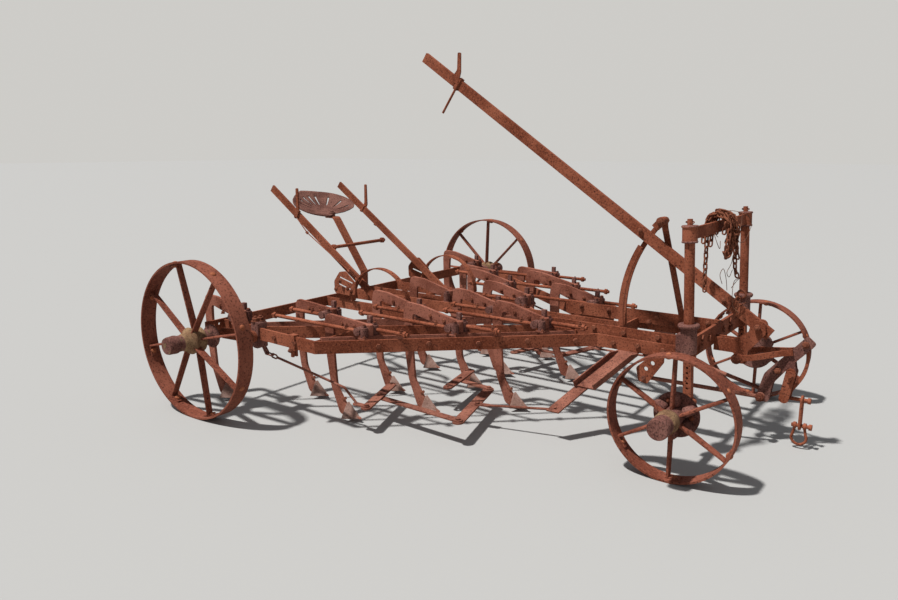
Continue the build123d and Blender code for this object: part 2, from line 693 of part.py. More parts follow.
hitch_shaft_x = post_x + 130
hitch_shaft_z = 455
curve = []
for side in (-1, 1):
    curve.append(side_plate([
        (link_rear, 466, 0), (hitch_shaft_x - 34, 466, 10), (hitch_shaft_x - 34, 424, 30),
        (hitch_shaft_x + 34, 424, 30), (hitch_shaft_x + 34, 480, 20),
        (front_pivot_x + 42, 590, 20), (front_pivot_x + 34, 654, 30), (front_pivot_x - 34, 654, 30),
        (front_pivot_x - 44, 590, 20), (post_x + 100, 540, 40), (link_rear, 540, 0)], side * 22, 14))
hitch_shaft = rod((hitch_shaft_x, -118, hitch_shaft_z), (hitch_shaft_x, 118, hitch_shaft_z), 30)
add("lever_link", curve[0] + curve[1] + lever_pin + hitch_shaft)

# Seat: a dished pan with radial slots and a notch in front, on a bent flat spring
spring_width = 50
spring_thickness = 10
pan_thickness = 6
seat_boss_x = seat_low_x - 72
seat_boss_bottom = seat_low_z - pan_thickness - 12
spring_x = rear_beam_x + flat_thickness / 2 + seat_gap + spring_thickness / 2
spring_end_z = seat_boss_bottom - seat_gap - spring_thickness / 2
spring_line = strip([
    (spring_x, rail_bottom + 8), (spring_x, 645), (seat_boss_x + 44, spring_end_z),
    (seat_boss_x - 34, spring_end_z)], spring_thickness)
spring = side_plate(
    [(x, z, 0 if index in (0, 3, 4, 7) else 18) for index, (x, z) in enumerate(spring_line)], 0, spring_width)
add("seat_spring", spring)
pan_plan = outline([
    (seat_low_x + 56, -150, 60), (seat_low_x - 50, -40, 26), (seat_low_x - 50, 40, 26), (seat_low_x + 56, 150, 60),
    (seat_low_x - 40, 246, 150), (seat_low_x - 330, 236, 180), (seat_low_x - 406, 60, 150),
    (seat_low_x - 406, -60, 150), (seat_low_x - 330, -236, 180), (seat_low_x - 40, -246, 150)])
for number in range(9):
    slot_angle = 100 + 20 * number
    pan_plan -= Pos(seat_low_x - 150, 0) * Rot(0, 0, slot_angle) * Pos(138, 0) * Rectangle(74, 8)
pan_centre = Pos(seat_low_x, 0, seat_low_z + seat_hollow)
pan = pan_centre * (Sphere(seat_hollow + pan_thickness) - Sphere(seat_hollow))
pan &= extrude(Pos(0, 0, seat_low_z - 60) * pan_plan, 360)
pan = Pos(seat_low_x, 0, seat_low_z) * Rot(seat_roll, 0, 0) * Pos(-seat_low_x, 0, -seat_low_z) * pan
seat_boss = Pos(seat_boss_x, 0, seat_boss_bottom) * Cylinder(
    24, 30, align=(Align.CENTER, Align.CENTER, Align.MIN))
seat_boss -= Pos(seat_low_x, 0, seat_low_z) * Rot(seat_roll, 0, 0) * Pos(0, 0, seat_hollow) * Sphere(seat_hollow + 3)
add("seat_pan", pan + seat_boss)

# Hitch: an arm of two bars up from the apex of the draft rods
def fore(rows):
    """Rows of x, z and corner radius with x measured forward from the posts."""
    return [(post_x + x, z, radius) for x, z, radius in rows]


apex_x = post_x + 255
apex_z = 262
hang_x, hang_z = post_x + 384, 403
yoke = []
for side in (-1, 1):
    yoke.append(side_plate(fore([
        (225, 262, 14), (225, 226, 14), (285, 226, 14), (300, 330, 60), (380, 440, 60),
        (485, 560, 14), (440, 600, 14), (340, 480, 60), (255, 380, 60)]), side * 17, 10))
    lug = make_hull((Pos(hang_x, hang_z) * Circle(24)).edges() + (Pos(hang_x - 10, hang_z + 52) * Circle(24)).edges())
    yoke[-1] += Pos(0, side * 17, 0) * extrude(Plane.XZ * lug, 5, both=True)
    yoke[-1] -= rod((hang_x, -60, hang_z), (hang_x, 60, hang_z), 22 + 2 * seat_gap)
apex_pin = rod((apex_x, -78, apex_z), (apex_x, 78, apex_z), 22)
top_pin = rod((post_x + 442, -30, 562), (post_x + 442, 30, 562), 18)
hitch_bolt_z = 385
cross_pin = rod((post_x + 320, -30, hitch_bolt_z + 22), (post_x + 320, 30, hitch_bolt_z + 22), 20)
add("hitch_yoke", yoke[0] + yoke[1] + apex_pin + top_pin + cross_pin)

# Arms from the hitch shaft to the yoke, and draft rods from the frame and the stems to the apex
arm_tilt = 13
arm_width = 30
arm_plan = [(0, -100), (80, -100), (232, -28 - seat_gap), (262, -28 - seat_gap)]
arm = edge_bar(arm_plan, 12, -arm_width / 2, arm_width / 2)
arm += rod((0, -112, 0), (0, -88, 0), 54)
arm -= rod((0, -120, 0), (0, -80, 0), 30 + 2 * seat_gap)
arm = Pos(hitch_shaft_x, 0, hitch_shaft_z) * Rot(0, -arm_tilt, 0) * arm
pair("hitch_arms", arm)


def draft_rod(start, y, diameter):
    """Round rod from a start point to an eye on the apex pin at y."""
    eye = rod((apex_x, y - 9, apex_z), (apex_x, y + 9, apex_z), 46)
    body = rod(start, (apex_x - 12, y, apex_z), diameter) + eye
    return body - rod((apex_x, y - 20, apex_z), (apex_x, y + 20, apex_z), 22 + 2 * seat_gap)


plate_y = front_half_gap + rail_thickness / 2 + 5 + seat_gap
plate = side_plate(fore([
    (-255, 470, 8), (-190, 470, 8), (-190, 420, 12), (-276, 288, 14), (-325, 300, 14),
    (-340, 372, 20), (-280, 430, 20)]), -plate_y, 10)
plate_holes = [(post_x - 295, 320), (post_x - 285, 372), (post_x - 250, 408)]
for x, z in plate_holes:
    plate -= rod((x, -plate_y - 20, z), (x, -plate_y + 20, z), 24)
rod_eye_x, rod_eye_z = plate_holes[0]
rod_eye_y = plate_y - 5 - seat_gap - 12
frame_rod = draft_rod((rod_eye_x, -rod_eye_y, rod_eye_z), -66, 22)
frame_rod += rod((rod_eye_x, -rod_eye_y - 12, rod_eye_z), (rod_eye_x, -rod_eye_y + 12, rod_eye_z), 46)
frame_rod += rod((rod_eye_x, -plate_y - 16, rod_eye_z), (rod_eye_x, -rod_eye_y, rod_eye_z), 24 - 2 * seat_gap)
pair("draft_plates", plate)
pair("draft_rods", frame_rod)

# Hanging links at the yoke, the bolt they hold, the long link on it and its bow shackle
bolt_rear, bolt_end, bolt_z = post_x + 362, post_x + 472, 264
link_y = 17 + 5 + seat_gap + 7
hanging = []
for side in (-1, 1):
    bar = make_hull((Pos(hang_x, hang_z) * Circle(24)).edges() + (Pos(bolt_rear, bolt_z) * Circle(24)).edges())
    hanging.append(Pos(0, side * link_y, 0) * extrude(Plane.XZ * bar, 7, both=True))
hang_pin = rod((hang_x, -link_y - 22, hang_z), (hang_x, link_y + 22, hang_z), 22)
bolt = rod((bolt_rear - 14, 0, bolt_z), (bolt_end, 0, bolt_z), 20)
bolt_head = rod((bolt_end, 0, bolt_z), (bolt_end + 14, 0, bolt_z), 32)
spacer = Pos(bolt_rear, 0, bolt_z) * Box(36, 2 * link_y, 36)
hang_pin += rod((hang_x, -link_y - 34, hang_z), (hang_x, -link_y - 20, hang_z), 34)
stay_path = Wire([
    Line((post_x + 446, 0, 548), (post_x + 452, 0, 500)),
    ThreePointArc((post_x + 452, 0, 500), (post_x + 446, 0, 420), (post_x + 418, 0, 352)),
    Line((post_x + 418, 0, 352), (post_x + 372, 0, 278))])
stay = sweep(Plane(origin=(post_x + 446, 0, 548), z_dir=(6, 0, -48)) * Rectangle(16, 9), path=stay_path)
stay += rod((post_x + 442, -9, 562), (post_x + 442, 9, 562), 36)
stay -= rod((post_x + 442, -20, 562), (post_x + 442, 20, 562), 18 + 2 * seat_gap)
add("hitch_links", hanging[0] + hanging[1] + hang_pin + bolt + bolt_head + spacer + stay)

link_bar = 14
pin_gap = 0.3
shackle_pin = 20
link_x = post_x + 445
pin_z = 125
loop = link_bar / 2 + shackle_pin / 2 + pin_gap
path = Wire([
    Line((0, loop, bolt_z), (0, loop, pin_z)),
    ThreePointArc((0, loop, pin_z), (0, 0, pin_z - loop), (0, -loop, pin_z)),
    Line((0, -loop, pin_z), (0, -loop, bolt_z)),
    ThreePointArc((0, -loop, bolt_z), (0, 0, bolt_z + loop), (0, loop, bolt_z))])
long_link = sweep(Plane(origin=(0, loop, bolt_z), z_dir=(0, 0, -1)) * Circle(link_bar / 2), path=path)
add("long_link", Pos(link_x, 0, 0) * long_link)
bow_radius = 36
bow_z = pin_z - 66
ear = 24
bow = Wire([
    Line((-ear, 0, pin_z), (-ear - 2, 0, pin_z - 22)),
    Line((-ear - 2, 0, pin_z - 22), (-bow_radius * cos(0.5), 0, bow_z + bow_radius * sin(0.5))),
    ThreePointArc(
        (-bow_radius * cos(0.5), 0, bow_z + bow_radius * sin(0.5)), (0, 0, bow_z - bow_radius),
        (bow_radius * cos(0.5), 0, bow_z + bow_radius * sin(0.5))),
    Line((bow_radius * cos(0.5), 0, bow_z + bow_radius * sin(0.5)), (ear + 2, 0, pin_z - 22)),
    Line((ear + 2, 0, pin_z - 22), (ear, 0, pin_z))])
shackle = sweep(
    Plane(origin=(-ear, 0, pin_z), z_dir=(-2, 0, -22)) * Circle(7), path=bow, transition=Transition.ROUND)
for side in (-1, 1):
    shackle += rod((side * ear - 7, 0, pin_z), (side * ear + 7, 0, pin_z), 34)
shackle += rod((-ear - 16, 0, pin_z), (ear + 34, 0, pin_z), shackle_pin)
shackle += rod((ear + 20, 0, pin_z), (ear + 34, 0, pin_z), 32)
add("shackle", Pos(link_x, 0, 0) * shackle)

# Tie rods: from the eye of each near boss back to a nut, and from far bosses forward over the rail
def tie_rod(start, end, y):
    """Level rod along X with a nut at its end and a small bolt down through it."""
    toward = 1 if end > start else -1
    body = rod((start, y, tie_z), (end, y, tie_z), tie_diameter)
    nut = Pos(end - toward * 22, y, tie_z) * Rot(0, 90, 0) * extrude(RegularPolygon(19, 6), 9, both=True)
    return body + nut


ties = []
for x, steps, reach, drop in outer_tines:
    for side in (-1, 1):
        eye_y = side * steps * tine_pitch - boss_shift
        bar_x = x_on_line(inner_bar_line, abs(eye_y))
        ties.append(tie_rod(x - eye_back - eye_radius - seat_gap, bar_x - 40, eye_y))
        boss_y = side * steps * tine_pitch + boss_shift
        ties.append(tie_rod(x + boss_diameter / 2 + seat_gap, x + 240, boss_y))
for x, steps, reach, drop in inner_tines[1:]:
    for side in (-1, 1):
        eye_y = side * steps * tine_pitch - boss_shift
        ties.append(tie_rod(x - eye_back - eye_radius - seat_gap, x - 330, eye_y))
add("tie_rods", *ties)


# Eveners under the frame: flat plates on pins, rods with rings and short chains
def flat_link(start, end, width, thickness):
    """Flat bar with round ends between two points, its broad side up."""
    start = Vector(*start)
    along = Vector(*end) - start
    across = Vector(0, 0, 1).cross(along)
    face = make_hull(
        Circle(width / 2).edges() + (Pos(along.length, 0) * Circle(width / 2)).edges())
    place = Plane(origin=start, x_dir=along, z_dir=along.cross(across))
    return place * extrude(face, thickness / 2, both=True)


def ring(place, inner, bar):
    """Round ring about the Z line of a place."""
    return place * Torus(inner + bar / 2, bar / 2)


chain_bar = 9
chain_reach = 20
chain_pitch = chain_reach + 1.5 * chain_bar - 0.3


def chain_link(start, end, across):
    """Oval link between the middles of its two end arcs, its broad side along a direction."""
    start = Vector(*start)
    along = Vector(*end) - start
    place = Plane(origin=start, x_dir=along, z_dir=along.cross(Vector(*across)))
    half = chain_bar * 1.25
    path = Wire([
        Line((0, -half, 0), (along.length, -half, 0)),
        ThreePointArc((along.length, -half, 0), (along.length + half, 0, 0), (along.length, half, 0)),
        Line((along.length, half, 0), (0, half, 0)),
        ThreePointArc((0, half, 0), (-half, 0, 0), (0, -half, 0))])
    return place * sweep(Plane(origin=(0, -half, 0), z_dir=(1, 0, 0)) * Circle(chain_bar / 2), path=path)


def hanging_chain(x, y, top, count):
    """Links that hang straight down, the first one broad along X, with the middle of its top arc at a height."""
    links = []
    for number in range(count):
        link_top = top - number * chain_pitch
        across = (0, 1, 0) if number % 2 else (1, 0, 0)
        links.append(chain_link((x, y, link_top), (x, y, link_top - chain_reach), across))
    return links


evener_thickness = 10
link_thickness = 8
stack = (evener_thickness + link_thickness) / 2 + seat_gap
pin_diameter = 16


def pin(point, below, above):
    """Upright pin through a stack of plates, with a flat head."""
    x, y, z = point
    body = rod((x, y, z - below), (x, y, z + above), pin_diameter)
    return body + rod((x, y, z + above), (x, y, z + above + 7), pin_diameter + 10)


def pinned_plate(start, end, width, thickness, holes):
    """Flat link with round holes for upright pins."""
    body = flat_link(start, end, width, thickness)
    for x, y, z in holes:
        body -= rod((x, y, z - 40), (x, y, z + 40), pin_diameter + 2 * seat_gap)
    return body


wide_z = 130
front_hook = (bend_x - 490, -740, wide_z)
wide_near = (bend_x - 430, -1010, wide_z)
wide_far = (bend_x - 590, -470, wide_z)
rear_near = (bend_x - 930, -1170, wide_z + 2 * stack)
rear_far = (bend_x - 1080, -780, wide_z + 2 * stack)
rear_mid = tuple((a + b) / 2 for a, b in zip(rear_near, rear_far))
long_front = (wide_near[0], wide_near[1], wide_z + stack)
long_rear = (rear_mid[0], rear_mid[1], wide_z + stack)
inner_near = (bend_x - 780, -620, wide_z + 2 * stack)
inner_far = (bend_x - 860, -270, wide_z + 2 * stack)
inner_mid = tuple((a + b) / 2 for a, b in zip(inner_near, inner_far))
short_front = (wide_far[0], wide_far[1], wide_z + stack)
short_rear = (inner_mid[0], inner_mid[1], wide_z + stack)
wide_evener = pinned_plate(wide_near, wide_far, 62, evener_thickness, (wide_near, wide_far, front_hook))
rear_evener = pinned_plate(rear_near, rear_far, 56, evener_thickness, (rear_near, rear_far, rear_mid))
inner_evener = pinned_plate(inner_near, inner_far, 56, evener_thickness, (inner_near, inner_far, inner_mid))
long_link_bar = flat_link(long_front, long_rear, 48, link_thickness)
short_link_bar = flat_link(short_front, short_rear, 44, link_thickness)
for point in (long_front, short_front):
    long_pin = pin((point[0], point[1], wide_z + stack), stack + 12, 5)
    if point == long_front:
        long_link_bar += long_pin
    else:
        short_link_bar += long_pin
long_link_bar += pin(long_rear, 8, stack + 8)
short_link_bar += pin(short_rear, 8, stack + 8)
pair("eveners", wide_evener, rear_evener, inner_evener)
pair("evener_links", long_link_bar, short_link_bar)

# Draft plates under the front rails, sheared along the rails, with flanges and a narrower lower plate
plate_slope = hypot(390, 275)
plate_down = Vector(0, -390 / plate_slope, -275 / plate_slope)
plate_top = Vector(bend_x + 190, -front_half_gap - 1, rail_bottom - seat_gap)
plate_place = Plane(origin=plate_top, x_dir=(1, 0, 0), z_dir=Vector(1, 0, 0).cross(plate_down))


def sloped(rows, thickness, lift):
    """Plate in the slope of the draft plates, from rows of x and distance down the slope."""
    face = make_face(Polyline(*rows, close=True))
    return plate_place * Pos(0, 0, lift) * extrude(face, thickness)


upper_plate = sloped([(-60, 0), (60, 0), (-80, 300), (-200, 300)], -10, 0)
for edge in (-60, 52):
    upper_plate += sloped([(edge, 20), (edge + 8, 20), (edge - 132, 300), (edge - 140, 300)], -42, 0)
upper_plate &= Pos(1000, 0, rail_bottom - seat_gap) * Box(
    6000, 4000, 4000, align=(Align.CENTER, Align.CENTER, Align.MAX))
lower_plate = sloped([(-176, 250), (-104, 250), (-214, 488), (-286, 488)], 10, seat_gap)
hook_at = plate_place * Pos(-243, 462, 10 + seat_gap)
lower_plate -= hook_at * Cylinder((pin_diameter + 2 * seat_gap) / 2, 60)
pair("front_draft_plates", upper_plate, lower_plate)

# Rods of the eveners
hook_start = Vector(front_hook[0], front_hook[1], wide_z + stack)
hook_eye = hook_at * Pos(0, 0, seat_gap)
hook_end = (hook_eye * Pos(0, 0, 5)).position
level_run = Vector(hook_end.X - hook_start.X, hook_end.Y - hook_start.Y, 0).normalized()
hook_rod = rod(hook_start + level_run * 62, hook_end, 14)
hook_rod += flat_link(hook_start, hook_start + level_run * 64, 36, link_thickness)
hook_rod += pin(tuple(hook_start), stack + 12, 5)
hook_rod += hook_eye * Cylinder(20, 10, align=(Align.CENTER, Align.CENTER, Align.MIN))
hook_rod += hook_at * Pos(0, 0, -18) * Cylinder(
    pin_diameter / 2, 38, align=(Align.CENTER, Align.CENTER, Align.MIN))
hook_rod -= lower_plate
hook_rod = max(hook_rod.solids(), key=lambda piece: piece.volume)
rear_rod_front = (rear_near[0] - 150, rear_near[1] - 10, rear_near[2] + 90)
lug_hole = Vector(*lug_eye)
rod_run = (Vector(*rear_rod_front) - lug_hole).normalized()
first_start = lug_hole + rod_run * (1.25 * chain_bar)
lug_link = chain_link(first_start, first_start + rod_run * chain_reach, (0, 1, 0))
rod_ring_start = first_start + rod_run * chain_pitch
rod_ring = chain_link(rod_ring_start, rod_ring_start + rod_run * chain_reach, Vector(0, 1, 0).cross(rod_run))
rear_rod_back = tuple(rod_ring_start + rod_run * (chain_reach + 1.25 * chain_bar - 2))
rear_clevis = flat_link(
    (rear_near[0], rear_near[1], rear_near[2] + stack), (rear_near[0] - 70, rear_near[1] - 4, rear_near[2] + stack),
    36, link_thickness)
rear_clevis += pin((rear_near[0], rear_near[1], rear_near[2] + stack), stack + 12, 5)
rear_clevis += rod((rear_near[0] - 60, rear_near[1] - 4, rear_near[2] + stack), rear_rod_front, 14)
rear_rod = rod(rear_rod_front, rear_rod_back, 14)
rear_rod += Pos(*rear_rod_front) * Sphere(7.5)
pair("evener_rods", hook_rod, rear_clevis + rear_rod + rod_ring, lug_link)

# Chain thrown over the post beam in turns: place along the beam, links in front, links behind
turn_rows = [
    (-170, 3, 10), (-124, 4, 2), (-78, 5, 1), (-32, 4, 2), (14, 5, 1), (60, 4, 2), (106, 9, 2)]
beam_lean = radians(post_rake)
beam_top_z = sleeve_bottom + (eye_base + beam_depth - 4) * cos(beam_lean) + beam_thickness / 2 * sin(beam_lean)
beam_x = post_x - (eye_base + beam_depth - 4) * sin(beam_lean)
saddle_reach = 34
saddle_z = beam_top_z + chain_bar / 2 + seat_gap
hang_out = saddle_reach / 2 + 1.25 * chain_bar
hang_top = saddle_z - 0.25 * chain_bar + 0.3
turns = []
for y, front_count, rear_count in turn_rows:
    turns.append(chain_link(
        (beam_x - saddle_reach / 2, y, saddle_z), (beam_x + saddle_reach / 2, y, saddle_z), (0, 1, 0)))
    turns += hanging_chain(beam_x + hang_out, y, hang_top, front_count)
    turns += hanging_chain(beam_x - hang_out, y, hang_top, rear_count)
add("beam_chain", *turns)

# Clamps round the outer rails
clamp_x = 582
clamp_turn = degrees(atan2(corner_y - rear_half_gap, corner_x - rail_rear + 6))
clamp_y = rear_half_gap + (clamp_x - rail_rear + 6) * tan(radians(clamp_turn))
rail_clamp = Box(46, rail_thickness + 22, rail_depth + 18) - Box(80, rail_thickness + 2 * seat_gap, rail_depth + 2 * seat_gap)
for side in (-1, 1):
    rail_clamp += Pos(0, side * (rail_thickness / 2 + 5), -rail_depth / 2 - 26) * Box(18, 12, 40)
rail_clamp = Pos(clamp_x, -clamp_y, rail_top - rail_depth / 2) * Rot(0, 0, -clamp_turn) * rail_clamp
pair("rail_clamps", rail_clamp)

os.makedirs("parts", exist_ok=True)
for name, shape in parts.items():
    export_step(Pos(-origin_x, 0, 0) * shape, f"parts/{name}.step")
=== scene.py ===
import json
import math

import bpy
import numpy as np
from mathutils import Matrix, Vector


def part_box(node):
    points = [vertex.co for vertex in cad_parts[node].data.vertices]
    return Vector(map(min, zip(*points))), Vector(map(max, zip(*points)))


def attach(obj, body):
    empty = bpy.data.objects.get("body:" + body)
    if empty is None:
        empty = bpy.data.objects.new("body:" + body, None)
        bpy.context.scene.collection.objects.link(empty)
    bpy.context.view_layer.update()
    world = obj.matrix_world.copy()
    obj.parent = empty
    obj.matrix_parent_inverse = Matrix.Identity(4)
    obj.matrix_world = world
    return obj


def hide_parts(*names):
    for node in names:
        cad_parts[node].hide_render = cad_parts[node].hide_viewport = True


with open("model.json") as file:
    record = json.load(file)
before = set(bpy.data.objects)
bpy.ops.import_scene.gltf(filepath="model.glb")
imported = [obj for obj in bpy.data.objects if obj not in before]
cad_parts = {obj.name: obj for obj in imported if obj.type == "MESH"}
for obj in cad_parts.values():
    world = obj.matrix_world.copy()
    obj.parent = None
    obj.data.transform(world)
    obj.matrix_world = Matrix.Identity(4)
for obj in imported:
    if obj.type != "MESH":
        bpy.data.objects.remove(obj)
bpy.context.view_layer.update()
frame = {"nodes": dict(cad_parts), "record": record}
# Places of pieces are counted from the floor below the middle of the rear axle
rimLow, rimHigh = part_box("rear_right_rim")
rearAxle = np.array([(rimLow.x + rimHigh.x) / 2, 0, 0])
print("stage: frame loaded")

# Rust, one finish for each kind of iron on the machine. Colours are linear red, green and blue.
finishes = {
    "frame_rust": {
        "light": (0.285, 0.09, 0.048), "middle": (0.16, 0.042, 0.02), "dark": (0.05, 0.015, 0.01),
        "dust": (0.38, 0.17, 0.1), "blotch": 4.5, "patch": 58.0, "grain": 330.0, "darkShare": 0.45,
        "bump": 0.9, "roughness": 0.8},
    "wheel_rust": {
        "light": (0.25, 0.082, 0.05), "middle": (0.142, 0.04, 0.023), "dark": (0.045, 0.015, 0.01),
        "dust": (0.34, 0.155, 0.1), "blotch": 3.4, "patch": 48.0, "grain": 280.0, "darkShare": 0.45,
        "bump": 0.7, "roughness": 0.76},
    "tine_rust": {
        "light": (0.31, 0.115, 0.076), "middle": (0.17, 0.053, 0.032), "dark": (0.05, 0.017, 0.012),
        "dust": (0.42, 0.225, 0.16), "blotch": 6.0, "patch": 66.0, "grain": 300.0, "darkShare": 0.44,
        "bump": 1.0, "roughness": 0.82},
    "rusted_casting": {
        "light": (0.23, 0.105, 0.082), "middle": (0.135, 0.054, 0.042), "dark": (0.045, 0.021, 0.018),
        "dust": (0.32, 0.2, 0.16), "blotch": 9.0, "patch": 74.0, "grain": 200.0, "darkShare": 0.47,
        "bump": 1.3, "roughness": 0.88},
    "boltRust": {
        "light": (0.22, 0.075, 0.042), "middle": (0.115, 0.034, 0.019), "dark": (0.036, 0.014, 0.011),
        "dust": (0.33, 0.19, 0.13), "blotch": 12.0, "patch": 90.0, "grain": 420.0, "darkShare": 0.44,
        "bump": 0.8, "roughness": 0.84},
    "rivetRust": {
        "light": (0.36, 0.125, 0.062), "middle": (0.23, 0.068, 0.032), "dark": (0.06, 0.02, 0.013),
        "dust": (0.4, 0.2, 0.12), "blotch": 14.0, "patch": 100.0, "grain": 420.0, "darkShare": 0.4,
        "bump": 0.7, "roughness": 0.84},
    "seatRust": {
        "light": (0.19, 0.085, 0.064), "middle": (0.1, 0.04, 0.03), "dark": (0.035, 0.016, 0.013),
        "dust": (0.34, 0.21, 0.16), "blotch": 9.0, "patch": 80.0, "grain": 520.0, "darkShare": 0.46,
        "bump": 1.2, "roughness": 0.8},
    "underRust": {
        "light": (0.27, 0.105, 0.07), "middle": (0.15, 0.052, 0.034), "dark": (0.05, 0.021, 0.017),
        "dust": (0.38, 0.25, 0.19), "blotch": 8.0, "patch": 60.0, "grain": 240.0, "darkShare": 0.45,
        "bump": 1.3, "roughness": 0.86},
    "shareSteel": {
        "light": (0.3, 0.19, 0.155), "middle": (0.19, 0.105, 0.08), "dark": (0.06, 0.03, 0.024),
        "dust": (0.45, 0.37, 0.31), "blotch": 14.0, "patch": 70.0, "grain": 300.0, "darkShare": 0.42,
        "bump": 0.8, "roughness": 0.68},
    "lichenCrust": {
        "light": (0.27, 0.165, 0.088), "middle": (0.16, 0.085, 0.046), "dark": (0.06, 0.033, 0.022),
        "dust": (0.42, 0.35, 0.2), "blotch": 17.0, "patch": 80.0, "grain": 260.0, "darkShare": 0.45,
        "bump": 1.3, "roughness": 0.92},
    "chainRust": {
        "light": (0.24, 0.085, 0.045), "middle": (0.13, 0.04, 0.022), "dark": (0.04, 0.014, 0.01),
        "dust": (0.3, 0.14, 0.085), "blotch": 14.0, "patch": 90.0, "grain": 380.0, "darkShare": 0.46,
        "bump": 0.8, "roughness": 0.84},
    "wireRust": {
        "light": (0.2, 0.09, 0.055), "middle": (0.1, 0.045, 0.03), "dark": (0.035, 0.016, 0.012),
        "dust": (0.42, 0.36, 0.31), "blotch": 12.0, "patch": 60.0, "grain": 420.0, "darkShare": 0.45,
        "bump": 0.4, "roughness": 0.7},
}
# Layers of every finish: its noise as a share of the finish's scale, its detail and its roughness
rustNoises = {"blotch": (1, 5, 0.55), "patch": (1.8, 8, 0.75), "grain": (1, 4, 0.75), "scabs": (0.7, 8, 0.8),
              "flecks": (1.7, 5, 0.7), "lichen": (1, 7, 0.7)}
# Noise values between which each layer goes from nothing to full
rustRamps = {"blotch": (0.36, 0.66), "mottle": (0.03, -0.07), "light": (0.53, 0.63), "scabs": (0.35, 0.27),
             "pits": (0.4, 0.28), "dust": (0.62, 0.78), "flecks": (0.64, 0.74), "lichen": (0, 0.05),
             "lichenTone": (0.45, 0.6)}
rustGloss = 0.08
bumpDepth = 0.002  # metres


def newNode(nodes, kind, **values):
    # one shader node, with its named sockets and settings filled in
    node = nodes.new(kind)
    for key, value in values.items():
        if key in node.inputs:
            node.inputs[key].default_value = value
        else:
            setattr(node, key, value)
    return node


def rustMaterial(name, finish, lichen=None):
    # light, middle and dark rust mixed by a mottle a centimetre wide, scabs and dust on it, grit as a bump
    material = bpy.data.materials.new(name)
    material.use_nodes = True
    nodes = material.node_tree.nodes
    links = material.node_tree.links
    shader = nodes["Principled BSDF"]
    place = newNode(nodes, "ShaderNodeTexCoord")

    def noise(layer, scale):
        share, detail, roughness = rustNoises[layer]
        node = newNode(nodes, "ShaderNodeTexNoise", Scale=scale * share, Detail=detail, Roughness=roughness)
        links.new(place.outputs["Object"], node.inputs["Vector"])
        return node.outputs["Fac"]

    def ramp(source, layer, shift=0):
        low, high = rustRamps[layer]
        node = newNode(nodes, "ShaderNodeMapRange", interpolation_type="SMOOTHSTEP",
                       **{"From Min": shift + low, "From Max": shift + high})
        links.new(source, node.inputs["Value"])
        return node.outputs["Result"]

    def mix(factor, first, second):
        node = newNode(nodes, "ShaderNodeMix", data_type="RGBA")
        links.new(factor, node.inputs["Factor"])
        for socket, value in ((node.inputs[6], first), (node.inputs[7], second)):
            if isinstance(value, tuple):
                socket.default_value = (*value, 1)
            else:
                links.new(value, socket)
        return node.outputs[2]

    blotch = noise("blotch", finish["blotch"])
    patch = noise("patch", finish["patch"])
    grain = noise("grain", finish["grain"])
    scabs = noise("scabs", finish["patch"])
    flecks = noise("flecks", finish["patch"])
    colour = mix(ramp(blotch, "blotch"), finish["middle"], finish["light"])
    colour = mix(ramp(patch, "mottle", finish["darkShare"]), colour, finish["dark"])
    colour = mix(ramp(patch, "light"), colour, finish["light"])
    colour = mix(ramp(scabs, "scabs"), colour, finish["dark"])
    colour = mix(ramp(grain, "pits"), colour, finish["dark"])
    colour = mix(ramp(grain, "dust"), colour, finish["dust"])
    colour = mix(ramp(flecks, "flecks"), colour, finish["dust"])
    if lichen:
        spread = noise("lichen", lichen["scale"])
        tone = mix(ramp(grain, "lichenTone"), lichen["dark"], lichen["light"])
        colour = mix(ramp(spread, "lichen", 1 - lichen["share"]), colour, tone)
    links.new(colour, shader.inputs["Base Color"])
    shader.inputs["Roughness"].default_value = finish["roughness"]
    shader.inputs["Specular IOR Level"].default_value = rustGloss
    height = newNode(nodes, "ShaderNodeMath", operation="ADD")
    links.new(grain, height.inputs[0])
    links.new(patch, height.inputs[1])
    bump = newNode(nodes, "ShaderNodeBump", Strength=finish["bump"], Distance=bumpDepth)
    links.new(height.outputs[0], bump.inputs["Height"])
    links.new(bump.outputs["Normal"], shader.inputs["Normal"])
    return material


materials = {name: rustMaterial(name, finish) for name, finish in finishes.items()}
lichens = {
    "lichenedHub": {"scale": 13.0, "share": 0.46, "light": (0.25, 0.17, 0.085), "dark": (0.12, 0.072, 0.04)},
    "dustyHub": {"scale": 22.0, "share": 0.4, "light": (0.24, 0.15, 0.085), "dark": (0.12, 0.065, 0.04)},
}
for name, lichen in lichens.items():
    materials[name] = rustMaterial(name, finishes["rusted_casting"], lichen)

# Finishes of nodes that differ from their slot in the record
ownFinish = {"rear_right_hub": "lichenedHub", "front_right_hub": "dustyHub", "front_left_hub": "dustyHub",
             "seat_pan": "seatRust", "beam_chain": "chainRust", "eveners": "underRust",
             "evener_links": "underRust", "evener_rods": "underRust", "front_draft_plates": "underRust",
             "draft_rods": "underRust"}
slotOfNode = {row["node"]: row["material_slot"] for row in frame["record"]["subparts"]}
for nodeName, nodeObject in frame["nodes"].items():
    nodeObject.data.materials.clear()
    nodeObject.data.materials.append(materials[ownFinish.get(nodeName, slotOfNode[nodeName])])
print("stage: rust on the frame's pieces")


def unit(vectors):
    # each row divided by its own length
    return vectors / np.linalg.norm(vectors, axis=-1, keepdims=True)


def gridFaces(rows, columns, closed=True):
    # quads between neighbouring rows and columns of a grid, its last column joined to the first where closed
    across = columns if closed else columns - 1
    row, column = np.meshgrid(np.arange(rows - 1), np.arange(across), indexing="ij")
    after = (column + 1) % columns
    quads = np.stack([row * columns + column, row * columns + after,
                      (row + 1) * columns + after, (row + 1) * columns + column], -1)
    return quads.reshape(-1, 4)


def closedFaces(rows, columns):
    # the quads of a closed grid, with its first row turned round and its last row as a lid at each end
    last = list(range((rows - 1) * columns, rows * columns))
    return gridFaces(rows, columns).tolist() + [list(range(columns))[::-1], last]


